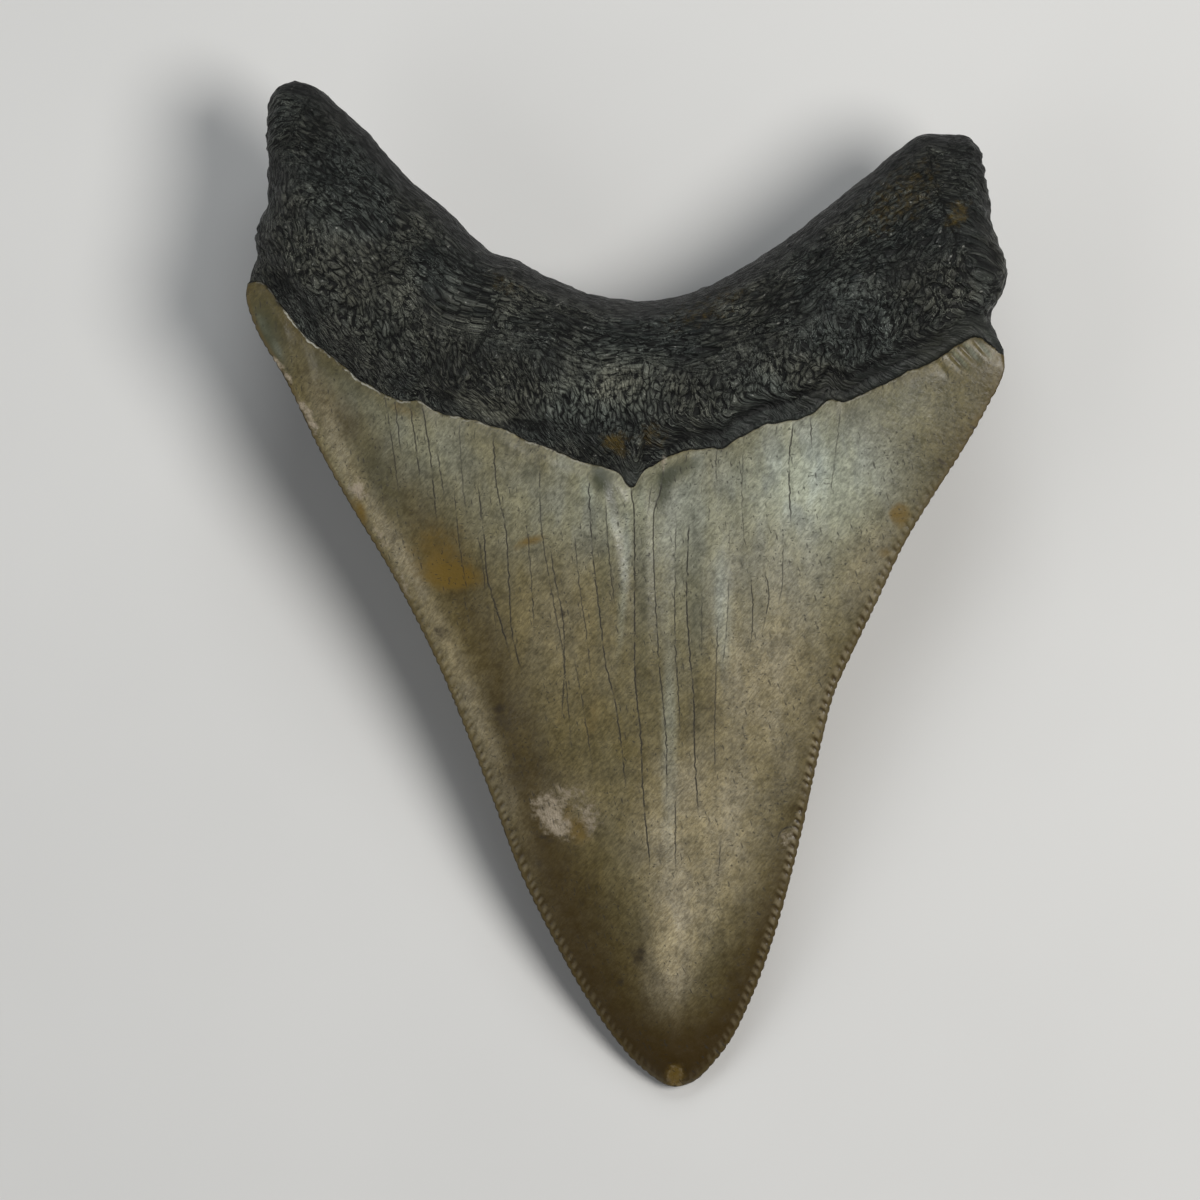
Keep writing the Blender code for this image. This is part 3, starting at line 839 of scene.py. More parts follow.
@dataclass(frozen=True)
class Root:
    """The root: a proud labial face, two lobes, and a boss with its nutrient opening below."""

    face_z: Line = ((55.0, 17.3), (61.0, 18.1), (68.0, 19.1), (78.0, 20.4), (88.0, 20.9), (101.0, 19.3))
    edge_z_middle: float = 12.4
    edge_z_lobe: float = 15.6
    labial_round: float = 5.5
    lingual_round: float = 9.0
    lobe_x: float = 32.0
    lobe_underside_z: float = 9.0
    boss: Spot = Spot(0.6, 14.6, 20.0, 13.0, 9.9)
    boss_squareness: float = 2.8
    foramen: Spot = Spot(1.0, 19.6, 0.9, 1.17, 1.5, power=2.0)
    lump: float = 0.28
    lump_length: float = 6.5
    labial_seed: float = 3.0
    lingual_seed: float = 11.0
    fan_centre: tuple[float, float] = (0.5, -42.0)
    fan_start: tuple[float, float] = (0.36, 0.66)
    rope_length: float = 1.9
    rope_width: float = 0.8
    rope_height: float = 0.2
    rim_width: float = 2.6

    def edge(self, place: Place) -> Array:
        """Gives the height of the root's edge."""
        out = smoothstep(np.abs(place.x - self.boss.x), 0.0, self.lobe_x)
        return self.edge_z_middle + (self.edge_z_lobe - self.edge_z_middle) * out

    def lumps(self, place: Place, seed: float) -> Array:
        """Gives the root's low uneven swells."""
        return self.lump * place.swell(self.lump_length, self.lump_length, seed)

    def labial(self, place: Place, edge: Array) -> Array:
        """Gives the height of the root's labial face over its edge's height."""
        face = place.down(self.face_z) + self.lumps(place, self.labial_seed)
        return edge + (face - edge) * self.rounded(place.to_edge, self.labial_round)

    def lingual(self, place: Place, edge: Array) -> Array:
        """Gives the height of the root's lingual face under its edge's height.

        Args:
            place: The points.
            edge: The edge's height at each point.

        Returns:
            The heights.
        """
        wide = (np.abs(place.x - self.boss.x) / self.boss.across) ** self.boss_squareness
        long = ((place.y - self.boss.y) / self.boss.along) ** 2
        face = self.lobe_underside_z - self.boss.amount * np.exp(-wide - long)
        rough = self.lumps(place, self.lingual_seed)
        return edge - (edge - face - rough) * self.rounded(place.to_edge, self.lingual_round)

    @staticmethod
    def rounded(distance: Array, radius: float) -> Array:
        """Gives a quarter circle's height, from 0 at the edge to 1 a radius in."""
        return np.sqrt(np.maximum(0.0, 1.0 - (1.0 - np.clip(distance / radius, 0.0, 1.0)) ** 2))

    def flow(self, place: Place) -> Array:
        """Gives coordinates along and across the strokes that follow the root's arch."""
        bend = 0.8 * place.swell(6.0, 6.0, 41.0)
        return np.stack([place.basal_run, place.basal_depth + bend], axis=1)

    def fall(self, place: Place) -> Array:
        """Gives coordinates along and across the strokes that run down to the enamel.

        Args:
            place: The points.

        Returns:
            The two coordinates of each point.
        """
        dx, dy = place.x - self.fan_centre[0], place.y - self.fan_centre[1]
        bend = 0.8 * place.swell(5.0, 5.0, 47.0)
        across = np.arctan2(dx, dy) * (self.boss.y - self.fan_centre[1])
        return np.stack([np.hypot(dx, dy), across + bend], axis=1)

    def fan(self, place: Place, over: Array) -> Array:
        """Finds where the strokes turn from the arch's course to run down to the enamel.

        Args:
            place: The points.
            over: How far each is over the enamel's end.

        Returns:
            0 where they follow the arch and 1 where they run down to the enamel.
        """
        share = np.maximum(over, 0.0) / (np.maximum(over, 0.0) + place.to_basal + 1e-6)
        share = share + 0.12 * place.swell(4.0, 4.0, 53.0)
        return 1.0 - smoothstep(share, *self.fan_start)

    def texture(self, place: Place, z: Array, over: Array) -> Array:
        """Gives the ropes of the root's skin, from -1 in a crease to 1 on a rope.

        Args:
            place: The points.
            z: Their heights.
            over: How far each is over the enamel's end.

        Returns:
            The ropes' relief, before it is scaled.
        """
        seed = 7.0 * place.face.value
        ropes = []
        for field, shift in ((self.flow(place), 0.0), (self.fall(place), 4.0)):
            u, v = field[:, 0] / self.rope_length, field[:, 1] / self.rope_width
            ropes.append(swell(u, v, z / 1.6 + seed + shift, 2))
        fan = self.fan(place, over)
        mixed = ropes[0] * (1.0 - fan) + ropes[1] * fan
        pits = -smoothstep(place.swell(0.9, 0.9, seed + 8.0), 0.35, 0.6)
        calm = 0.45 + 0.55 * smoothstep(place.to_basal, 0.5, self.rim_width)
        return np.clip(1.6 * mixed + 0.5 * pits, -1.2, 1.2) * calm


@dataclass(frozen=True)
class Junction:
    """The steps where tissues meet: the labial ledge and its groove, and the recessed lingual neck."""

    labial: EnamelLine = EnamelLine(
        (
            (-38.2, 30.3), (-36.2, 30.1), (-35.3, 29.1), (-34.3, 27.6), (-33.2, 26.2), (-31.9, 24.7),
            (-30.3, 23.5), (-28.7, 22.2), (-27.1, 20.8), (-25.4, 19.8), (-23.9, 19.0), (-22.4, 18.4),
            (-20.8, 18.4), (-19.2, 17.4), (-17.2, 16.9), (-15.3, 16.5), (-13.1, 15.8), (-11.5, 15.3),
            (-10.2, 14.5), (-8.3, 13.9), (-6.4, 13.1), (-4.5, 12.3), (-2.3, 11.8), (-0.9, 11.2),
            (0.4, 9.8), (1.7, 11.5), (3.5, 12.5), (5.2, 13.3), (7.8, 13.7), (9.5, 13.7), (10.6, 14.4),
            (12.2, 15.3), (13.8, 16.0), (15.8, 16.3), (17.7, 16.9), (18.6, 17.3), (19.9, 18.4),
            (21.8, 18.4), (23.7, 19.2), (25.6, 20.1), (27.5, 21.1), (29.5, 21.9), (31.1, 22.7),
            (32.7, 23.8), (34.2, 24.7), (35.2, 24.7), (36.2, 23.9), (38.2, 22.4),
        ),
        0.16, 1.1, 0.25, 5.0,
    )
    neck_top: EnamelLine = EnamelLine(
        (
            (-38.2, 29.9), (-34.0, 24.6), (-28.0, 18.6), (-20.0, 13.4), (-11.0, 9.0), (-3.0, 6.6),
            (1.0, 5.9), (5.0, 6.5), (13.0, 8.8), (21.0, 12.2), (28.0, 15.9), (34.0, 19.9), (38.2, 23.3),
        ),
        0.14, 1.4, 0.45, 6.0,
    )
    neck_bottom: EnamelLine = EnamelLine(
        (
            (-38.2, 29.3), (-34.0, 23.2), (-28.0, 16.2), (-20.0, 9.8), (-11.0, 4.2), (-3.0, 0.9),
            (1.2, -0.4), (5.0, 0.6), (13.0, 4.0), (21.0, 8.6), (28.0, 13.4), (34.0, 18.4), (38.2, 22.9),
        ),
        0.1, 1.2, 0.45, 7.0,
    )
    ledge: float = 0.35
    ledge_width: float = 0.22
    ledge_fade: tuple[float, float] = (2.0, 5.0)
    groove_depth: float = 0.36
    groove_span: tuple[float, float, float, float] = (6.0, 9.0, 29.0, 34.0)
    grooves: tuple[tuple[Line, float, float], ...] = (
        (((0.0, 0.7), (11.0, 0.65), (15.0, 0.55), (19.0, 0.7), (22.0, 1.1), (36.0, 0.9)), 0.2, 0.6),
        (((0.0, 1.1), (10.0, 1.75), (14.0, 1.7), (17.0, 2.3), (21.0, 2.5), (36.0, 2.1)), 0.32, 1.0),
    )
    pockets: tuple[Spot, ...] = each(
        Spot,
        (-34.5, 29.6, 0.95, 0.6, 1, -20), (-21.4, 19.3, 2, 0.3, 0.7, -4),
        (-18.8, 18.9, 1.2, 0.55, 1.5, -14), (-10.1, 16, 1.5, 0.48, 1.5, -10),
        (-13.4, 18, 4.2, 0.16, 0.35, -22), (4.4, 14, 2.8, 0.28, 0.6, 24),
    )
    lip_strength: Line = ((-38.0, 0.35), (-35.5, 0.85), (-24.0, 0.85), (-19.0, 0.6), (-11.0, 0.45),
                          (-4.0, 0.25), (-1.0, 0.0), (8.0, 0.0), (14.0, 0.25), (38.0, 0.12))
    tongue: Spot = Spot(0.2, 11.0, 1.9, 1.5, 1.0)
    neck_step: float = 0.35
    margin: float = 1.5
    blend_below: float = 1.5
    blend_length: float = 5.0

    def root_share(self, over: Array) -> Array:
        """Blends from the crown's form, 0, to the root's, 1, over the enamel's end."""
        return smoothstep((over + self.blend_below) / self.blend_length)

    def groove(self, place: Place, over: Array) -> Array:
        """Finds how deep in the grooves and pockets beside the ledge each point is, from 0 to 1.

        Args:
            place: The points.
            over: How far each is over the enamel's end.

        Returns:
            The shares of the full depth.
        """
        start, full, fading, end = self.groove_span
        there = smoothstep(place.x, start, full) * (1.0 - smoothstep(place.x, fading, end))
        deepest = sum(pocket.at(place) for pocket in self.pockets)
        for seed, (course, half_width, strength) in enumerate(self.grooves):
            wander = profile(course, place.x) + 0.16 * swell(place.x / 1.6, place.x * 0.0, 12.0 + seed)
            patchy = 0.45 + 0.55 * smoothstep(swell(place.x / 2.4, place.x * 0.0, 15.0 + seed), -0.4, 0.1)
            groove = strength * patchy * there * np.exp(-(((over - wander) / half_width) ** 2))
            deepest = np.maximum(deepest, groove)
        return np.clip(deepest, 0.0, 1.0)

    def calm(self, place: Place, over: Array) -> Array:
        """Finds the smoother rolled strips beside the ledge and on the tongue, from 0 to 1.

        Args:
            place: The points.
            over: How far each is over the enamel's end.

        Returns:
            How smooth the root is at each point.
        """
        strip = 1.0 - smoothstep(over, 1.6, 2.6)
        right = smoothstep(place.x, 5.0, 9.0)
        left = 0.6 * smoothstep(place.x, -20.0, -17.5) * (1.0 - smoothstep(place.x, -10.0, -8.0))
        return np.clip(strip * np.maximum(right, left) + self.tongue.at(place), 0.0, 1.0)

    def labial_step(self, place: Place, over: Array) -> Array:
        """Gives the ledge and groove where the root overlaps the labial enamel.

        Args:
            place: The points.
            over: How far each is over the enamel's end.

        Returns:
            What they add to each point's height.
        """
        ledge = smoothstep(over, 0.0, self.ledge_width) * (1 - smoothstep(over, *self.ledge_fade))
        inner = smoothstep(place.to_edge, 0.0, self.margin)
        return inner * (self.ledge * ledge - self.groove_depth * self.groove(place, over))

    def lingual_step(self, place: Place) -> Array:
        """Gives the recess of the neck band, upwards into the tooth.

        Args:
            place: The points.

        Returns:
            What it adds to each point's height.
        """
        neck = smoothstep(self.neck_bottom.over(place.x, place.y), 0.0, self.ledge_width)
        neck = neck * (1 - smoothstep(self.neck_top.over(place.x, place.y), 0.0, self.ledge_width))
        return smoothstep(place.to_edge, 0.0, self.margin) * self.neck_step * neck


class Graph:
    """A shader's node tree, wired up a line at a time."""

    def __init__(self, tree: Tree) -> None:
        """Keeps the tree that the nodes go in."""
        self.tree = tree

    def node(self, kind: str, inputs: dict | None = None, **settings: object) -> Node:
        """Adds a node.

        Args:
            kind: The node's type, without its ShaderNode prefix.
            inputs: Values or sockets for its inputs, by name or index.
            settings: The node's own settings.

        Returns:
            The new node.
        """
        made = self.tree.nodes.new("ShaderNode" + kind)
        for name, value in settings.items():
            setattr(made, name, value)
        for key, value in (inputs or {}).items():
            self.feed(made.inputs[key], value)
        return made

    def feed(self, socket: Socket, value: object) -> None:
        """Links a socket into another, or sets a plain value on it.

        Args:
            socket: The input to feed.
            value: A socket, a number, a vector or a colour.
        """
        if isinstance(value, Socket):
            self.tree.links.new(value, socket)
        elif isinstance(value, tuple) and len(value) == 3 and socket.type == "RGBA":
            socket.default_value = (*value, 1.0)
        else:
            socket.default_value = value

    def maths(self, operation: str, a: object, b: object = 0.0, clamp: bool = False) -> Socket:
        """Adds a sum of one or two values and gives its result."""
        return self.node("Math", {0: a, 1: b}, operation=operation, use_clamp=clamp).outputs[0]

    def times(self, a: object, b: object, clamp: bool = False) -> Socket:
        """Multiplies two values."""
        return self.maths("MULTIPLY", a, b, clamp)

    def plus(self, a: object, b: object, clamp: bool = False) -> Socket:
        """Adds two values."""
        return self.maths("ADD", a, b, clamp)

    def minus(self, a: object, b: object, clamp: bool = False) -> Socket:
        """Takes the second value from the first."""
        return self.maths("SUBTRACT", a, b, clamp)

    def vector(self, operation: str, a: object, b: object) -> Socket:
        """Adds a sum of two vectors and gives its result."""
        return self.node("VectorMath", {0: a, 1: b}, operation=operation).outputs[0]

    def grey(self, tone: Socket) -> Socket:
        """Makes a grey of a given tone."""
        return self.node("CombineColor", {0: tone, 1: tone, 2: tone}).outputs[0]

    def group(self, tree: Tree, inputs: dict[str, object]) -> Node:
        """Adds a shared node group, with values or sockets for its inputs."""
        return self.node("Group", inputs, node_tree=tree)

    def mix(self, share: object, a: object, b: object, blend: str = "MIX") -> Socket:
        """Mixes two colours and gives the result.

        Args:
            share: How much of the second colour there is.
            a: The first colour.
            b: The second colour.
            blend: How they are mixed.

        Returns:
            The mixed colour's socket.
        """
        node = self.node("Mix", data_type="RGBA", blend_type=blend)
        for index, value in ((0, share), (6, a), (7, b)):
            self.feed(node.inputs[index], value)
        return node.outputs[2]

    def spread(self, value: object, low: float, high: float, to_low: float = 0.0, to_high: float = 1.0,
               ) -> Socket:
        """Maps a value smoothly from one range onto another, held at both ends.

        Args:
            value: The value.
            low: Where its range starts.
            high: Where its range ends.
            to_low: What it becomes at the start.
            to_high: What it becomes at the end.

        Returns:
            The mapped value.
        """
        node = self.node("MapRange", {0: value, 1: low, 2: high, 3: to_low, 4: to_high},
                         interpolation_type="SMOOTHSTEP")
        return node.outputs[0]

    def mask(self, which: Mask) -> Socket:
        """Reads one of the mesh's stored values."""
        return self.stored(which.value).outputs["Fac"]

    def stored(self, name: str) -> Node:
        """Adds a node that reads what the mesh stores under a name."""
        return self.node("Attribute", attribute_name=name, attribute_type="GEOMETRY")

    def millimetres(self, stretch: tuple[float, float, float] = (1.0, 1.0, 1.0)) -> Socket:
        """Gives the object's own coordinates in millimetres, divided by a stretch."""
        scale = tuple(1.0 / (MM * along) for along in stretch)
        return self.vector("MULTIPLY", self.node("TexCoord").outputs["Object"], scale)

    def noise(self, where: Socket, scale: object, detail: float = 2.0, rough: float = 0.5) -> Socket:
        """Adds a noise texture and gives its value, about a half on average."""
        inputs = {"Vector": where, "Scale": scale, "Detail": detail, "Roughness": rough}
        return self.node("TexNoise", inputs).outputs["Fac"]


class Effects:
    """The shader node groups that more than one finish uses, each built once."""

    def __init__(self) -> None:
        """Builds every group."""
        self.specks = self.make_specks()
        self.mottle = self.make_mottle()
        self.stained = self.make_stained()
        self.strokes = self.make_strokes()
        self.grain = self.make_grain()

    @staticmethod
    def start(name: str, inputs: dict[str, object], *outputs: str) -> tuple[Graph, Sockets, Sockets]:
        """Starts a group with its named sockets.

        Args:
            name: The group's name.
            inputs: The default value of each input, by name.
            outputs: The outputs' names: one called Colour gives a colour, and the others a number.

        Returns:
            A graph on the group's tree, the sockets that give its inputs, and those that take its outputs.
        """
        tree = bpy.data.node_groups.new(name, "ShaderNodeTree")
        for label, default in inputs.items():
            kind = "Float" if isinstance(default, float) else ("Vector", "Color")[len(default) - 3]
            socket = tree.interface.new_socket(label, in_out="INPUT", socket_type="NodeSocket" + kind)
            socket.default_value = default
        for label in outputs:
            kind = "Color" if label == "Colour" else "Float"
            tree.interface.new_socket(label, in_out="OUTPUT", socket_type="NodeSocket" + kind)
        source, target = tree.nodes.new("NodeGroupInput"), tree.nodes.new("NodeGroupOutput")
        return Graph(tree), source.outputs, target.inputs

    def make_specks(self) -> Tree:
        """Builds fine specks: one in each cell of a given size, kept in a share of the cells.

        Returns:
            The group.
        """
        inputs = {"Cells per mm": 1.0, "Size": 0.2, "Share": 0.5, "Stretch": 1.0, "Seed": 0.0}
        graph, given, wanted = self.start("Specks", inputs, "Mask")
        place = graph.millimetres()
        height = graph.node("SeparateXYZ", {0: place}).outputs[2]
        lean = graph.node("CombineXYZ", {0: height, 1: graph.times(height, 0.7)}).outputs[0]
        place = graph.vector("ADD", place, lean)
        squeeze = graph.node("CombineXYZ", {0: 1.0, 1: given["Stretch"], 2: 1.0}).outputs[0]
        place = graph.vector("MULTIPLY", place, squeeze)
        place = graph.vector("ADD", place, given["Seed"])
        wobble = graph.node("TexNoise", {"Vector": place, "Scale": 2.6, "Detail": 2.0}).outputs["Color"]
        place = graph.vector("ADD", place, graph.vector("MULTIPLY", wobble, (0.25, 0.25, 0.25)))
        cells = graph.node("TexVoronoi", {"Vector": place, "Scale": given["Cells per mm"]},
                           voronoi_dimensions="2D")
        inner = graph.maths("DIVIDE", cells.outputs["Distance"], given["Size"])
        dot = graph.minus(1.6, graph.times(inner, 1.6), clamp=True)
        draw = graph.node("SeparateColor", {0: cells.outputs["Color"]}).outputs[0]
        kept = graph.maths("LESS_THAN", draw, given["Share"])
        graph.feed(wanted["Mask"], graph.times(dot, kept))
        return graph.tree

    def make_mottle(self) -> Tree:
        """Builds uneven tone: a colour made lighter and darker in patches, streaks and grains.

        Returns:
            The group.
        """
        inputs = {"Colour": (0.5, 0.5, 0.5, 1.0), "Patch per mm": 0.3, "Amount": 0.3, "Streak": 0.2,
                  "Grain": 0.2}
        graph, given, wanted = self.start("Mottle", inputs, "Colour")
        place = graph.millimetres()
        patches = graph.noise(place, given["Patch per mm"], 3.0, 0.6)
        streaks = graph.noise(graph.millimetres((0.8, 3.2, 2.0)), 1.0, 3.0, 0.6)
        grains = graph.noise(place, 1.7, 3.0, 0.72)
        tone = 1.0
        for field, name in ((patches, "Amount"), (streaks, "Streak"), (grains, "Grain")):
            swing = graph.times(graph.minus(field, 0.5), given[name])
            tone = graph.plus(tone, graph.times(swing, 2.0))
        graph.feed(wanted["Colour"], graph.mix(1.0, given["Colour"], graph.grey(tone), "MULTIPLY"))
        return graph.tree

    def make_stained(self) -> Tree:
        """Builds a stain: a colour that takes hold where a soft mask and fine noise agree.

        Returns:
            The group.
        """
        inputs = {"Colour": (0.5, 0.5, 0.5, 1.0), "Stain": (0.2, 0.12, 0.02, 1.0), "Mask": 0.0,
                  "Break-up": 0.5, "Grain per mm": 1.6}
        graph, given, wanted = self.start("Stained", inputs, "Colour", "Mask")
        fine = graph.noise(graph.millimetres(), given["Grain per mm"], 5.0, 0.65)
        fine = graph.times(graph.minus(fine, 0.5), given["Break-up"])
        held = graph.spread(graph.plus(given["Mask"], fine), 0.1, 1.0)
        held = graph.times(held, graph.spread(given["Mask"], 0.0, 0.12))
        graph.feed(wanted["Colour"], graph.mix(held, given["Colour"], given["Stain"]))
        graph.feed(wanted["Mask"], held)
        return graph.tree

    def make_strokes(self) -> Tree:
        """Builds short beaded strokes with creases between them, drawn out along a field's first axis.

        Returns:
            The group.
        """
        inputs = {"Field": (0.0, 0.0, 0.0), "Length": 1.0, "Width": 0.4, "Bend": 0.8}
        graph, given, wanted = self.start("Strokes", inputs, "Height", "Tone", "Line", "Inside")
        width = given["Width"]
        size = graph.node("CombineXYZ", {0: given["Length"], 1: width, 2: width}).outputs[0]
        place = graph.vector("DIVIDE", given["Field"], size)
        sway = graph.node("TexNoise", {"Vector": place, "Scale": 0.45, "Detail": 1.0},
                          noise_dimensions="2D").outputs["Color"]
        sway = graph.node("VectorMath", {0: sway, "Scale": given["Bend"]}, operation="SCALE").outputs[0]
        place = graph.vector("ADD", place, sway)
        inputs = {"Vector": place, "Scale": 1.0}
        cells = graph.node("TexVoronoi", inputs, voronoi_dimensions="2D")
        walls = graph.node("TexVoronoi", inputs, voronoi_dimensions="2D", feature="DISTANCE_TO_EDGE")
        fine = graph.node("TexNoise", {"Vector": place, "Scale": 1.3, "Detail": 3.0, "Roughness": 0.65},
                          noise_dimensions="2D").outputs["Fac"]
        bead = graph.minus(1.0, graph.times(cells.outputs["Distance"], 1.25), clamp=True)
        ridge = graph.maths("ABSOLUTE", graph.minus(fine, 0.53))
        fine = graph.spread(fine, 0.3, 0.7)
        tone = graph.node("SeparateColor", {0: cells.outputs["Color"]}).outputs[0]
        graph.feed(wanted["Height"], graph.plus(graph.times(bead, 0.5), graph.times(fine, 0.5)))
        graph.feed(wanted["Tone"], tone)
        # Thin lines on the ridges, where the finishes paint glints and highlights.
        graph.feed(wanted["Line"], graph.spread(ridge, 0.03, 0.0))
        graph.feed(wanted["Inside"], graph.spread(walls.outputs["Distance"], 0.01, 0.15))
        return graph.tree

    def make_grain(self) -> Tree:
        """Builds a height from fine isotropic noise and from noise drawn out along the tooth.

        Returns:
            The group.
        """
        inputs = {"Fine per mm": 4.0, "Fine height": 0.01, "Drawn height": 0.01}
        graph, given, wanted = self.start("Grain", inputs, "Height")
        fine = graph.noise(graph.millimetres(), given["Fine per mm"], 3.0, 0.6)
        drawn = graph.noise(graph.millimetres((0.3, 4.0, 1.0)), 1.0, 2.0, 0.55)
        fine = graph.times(fine, given["Fine height"])
        drawn = graph.times(drawn, given["Drawn height"])
        graph.feed(wanted["Height"], graph.plus(fine, drawn))
        return graph.tree


class Finish:
    """What the finishes share: an empty material and a bump."""

    @staticmethod
    def begin(name: str) -> tuple[Material, Graph, Node]:
        """Starts a material.

        Args:
            name: The material's name.

        Returns:
            The material, its graph and its shader.
        """
        made = bpy.data.materials.new(name)
        made.use_nodes = True
        return made, Graph(made.node_tree), made.node_tree.nodes["Principled BSDF"]

    @staticmethod
    def bump(graph: Graph, shader: Node, height: object, strength: float = 1.0) -> None:
        """Feeds a height in millimetres to a shader's normal."""
        node = graph.node("Bump", {"Height": height, "Strength": strength, "Distance": MM})
        graph.feed(shader.inputs["Normal"], node.outputs["Normal"])


@dataclass(frozen=True)
class EnamelFinish(Finish):
    """Satin fossil enamel: olive grey, paler and warmer in places, with clear brownish edges. Part of the
    paler and warmer tone is painted sheen, highlight and light, and part of the darker tone at the edges,
    in the veils and in the dark marks is painted shade.
    """

    body: Colour = (0.105, 0.084, 0.035)
    # Paler colour, partly the enamel's own and partly a painted sheen and painted highlights.
    pale: Colour = (0.325, 0.358, 0.310)
    # Warmer colour, partly the enamel's own and partly painted light on the faces turned to the light.
    warm: Colour = (0.325, 0.274, 0.182)
    # Darker brownish colour of the clear edges, also used as painted shade there.
    brown: Colour = (0.036, 0.021, 0.003)
    # Dark olive colour, partly the enamel's own and partly painted shade in valleys and near the enamel's
    # end.
    veil: Colour = (0.044, 0.048, 0.028)
    # Colour of that line, partly a painted catch light.
    lip: Colour = (0.330, 0.325, 0.280)
    rim: Colour = (0.078, 0.056, 0.019)
    rib: Colour = (0.230, 0.190, 0.115)
    hollow: Colour = (0.045, 0.029, 0.009)
    ochre: Colour = (0.115, 0.070, 0.006)
    # Dark colour of pits and marks, also used for painted shade in dents and fold grooves.
    smudge: Colour = (0.030, 0.022, 0.011)
    bruise: Colour = (0.280, 0.235, 0.170)
    # Painted highlight on the ridges of the fine leathery strokes.
    ridge_highlight: Colour = (0.500, 0.500, 0.440)
    cool: Colour = (0.985, 1.015, 1.045)
    olive: Colour = (1.0, 1.0, 0.91)
    crack: Colour = (0.016, 0.014, 0.010)
    roughness: float = 0.38
    ior: float = 1.55
    specular: float = 0.32
    fibre_lean: float = -0.9
    dashes: tuple[tuple[float, ...], ...] = (
        (1.5, 0.16, 0.28, 0.6, 3.0),
        (1.5, 0.135, 0.36, 0.2, 31.0),
        (0.7, 0.17, 0.14, 3.6, 57.0),
        (2.2, 0.17, 0.16, 1.0, 11.0),
    )

    def material(self, effects: Effects) -> Material:
        """Builds the enamel's material.

        Args:
            effects: The shared node groups.

        Returns:
            The material.
        """
        made, graph, shader = self.begin("fossil_enamel")
        colour, stained = self.ground(graph, effects)
        dark = 0.0
        for cells, size, share, stretch, seed in self.dashes:
            dash = graph.group(effects.specks, {
                "Cells per mm": cells, "Size": size, "Share": share, "Stretch": stretch, "Seed": seed})
            dark = graph.maths("MAXIMUM", dash.outputs["Mask"], dark)
        dark = graph.times(dark, graph.spread(graph.noise(graph.millimetres(), 0.2), 0.3, 0.56))
        colour = graph.mix(graph.times(dark, 0.7), colour, self.crack)
        crack = graph.times(graph.mask(Mask.CRACK), 2.0, True)
        broken = graph.spread(graph.noise(graph.millimetres(), 0.8, 3.0), 0.36, 0.5, 0.25, 1.0)
        crack = graph.times(crack, broken)
        colour = graph.mix(graph.times(crack, 0.9), colour, self.crack)
        graph.feed(shader.inputs["Base Color"], colour)
        rough = graph.noise(graph.millimetres(), 0.8, 2.0)
        rough = graph.spread(rough, 0.3, 0.7, self.roughness - 0.06, self.roughness + 0.09)
        dull = graph.plus(graph.times(stained, 0.15),
                           graph.times(graph.maths("MAXIMUM", dark, crack), 0.3))
        graph.feed(shader.inputs["Roughness"], graph.plus(rough, dull, clamp=True))
        grain = graph.group(effects.grain, {
            "Fine per mm": 2.0, "Fine height": 0.045, "Drawn height": 0.006})
        torn = graph.noise(graph.millimetres((0.35, 0.9, 0.5)), 1.2, 3.0, 0.7)
        torn = graph.times(torn, graph.times(graph.mask(Mask.SCAR), 0.2))
        self.bump(graph, shader, graph.plus(grain.outputs["Height"], torn))
        shader.inputs["IOR"].default_value = self.ior
        shader.inputs["Specular IOR Level"].default_value = self.specular
        return made

    def ground(self, graph: Graph, effects: Effects) -> tuple[Socket, ...]:
        """Lays the enamel's colours over each other, from its body to its stains.

        Args:
            graph: The material's graph.
            effects: The shared node groups.

        Returns:
            The colour so far, and the mask of the ochre stains.
        """
        # Paler tone, partly a painted sheen and painted highlights.
        colour = graph.mix(graph.mask(Mask.PALE), self.body, self.pale)
        # Warmer tone, partly painted light on the lit side.
        colour = graph.mix(graph.mask(Mask.WARM), colour, self.warm)
        field = graph.node("VectorRotate", {"Vector": graph.millimetres(), "Angle": self.fibre_lean},
                           rotation_type="Z_AXIS").outputs[0]
        # Fine leathery strokes drawn in colour only, as painted light and shade.
        leathery_shading = graph.group(effects.strokes, {
            "Field": field, "Length": 0.8, "Width": 0.26, "Bend": 1.3})
        # Painted shade in the strokes' creases and lighter beads.
        tone = graph.spread(leathery_shading.outputs["Height"], 0.2, 0.8, 0.78, 1.16)
        colour = graph.mix(1.0, colour, graph.grey(tone), "MULTIPLY")
        # Painted highlights on the strokes' ridges, in the paler and warmer places.
        light = graph.plus(graph.mask(Mask.PALE), graph.mask(Mask.WARM), True)
        light = graph.times(graph.times(leathery_shading.outputs["Line"], light), 0.36)
        colour = graph.mix(light, colour, self.ridge_highlight)
        mottled = graph.group(effects.mottle, {
            "Colour": colour, "Patch per mm": 0.4, "Amount": 0.62, "Streak": 0.3, "Grain": 0.55})
        hue = graph.spread(graph.noise(graph.millimetres((1.0, 2.5, 1.5)), 0.4, 3.0), 0.38, 0.62)
        hue = graph.mix(hue, self.cool, self.olive)
        colour = graph.mix(1.0, mottled.outputs["Colour"], hue, "MULTIPLY")
        # Darker edges, partly painted shade.
        colour = graph.mix(graph.mask(Mask.BROWN), colour, self.brown)
        # Dark olive patches, partly painted shade.
        colour = graph.mix(graph.mask(Mask.VEIL), colour, self.veil)
        # Light line at the enamel's end, partly a painted catch light.
        colour = graph.mix(self.edge_line(graph), colour, self.lip)
        for mask, share, over in ((Mask.RIM, 0.7, self.rim), (Mask.RIB, 0.5, self.rib),
                                  (Mask.HOLLOW, 0.75, self.hollow)):
            colour = graph.mix(graph.times(graph.mask(mask), share), colour, over)
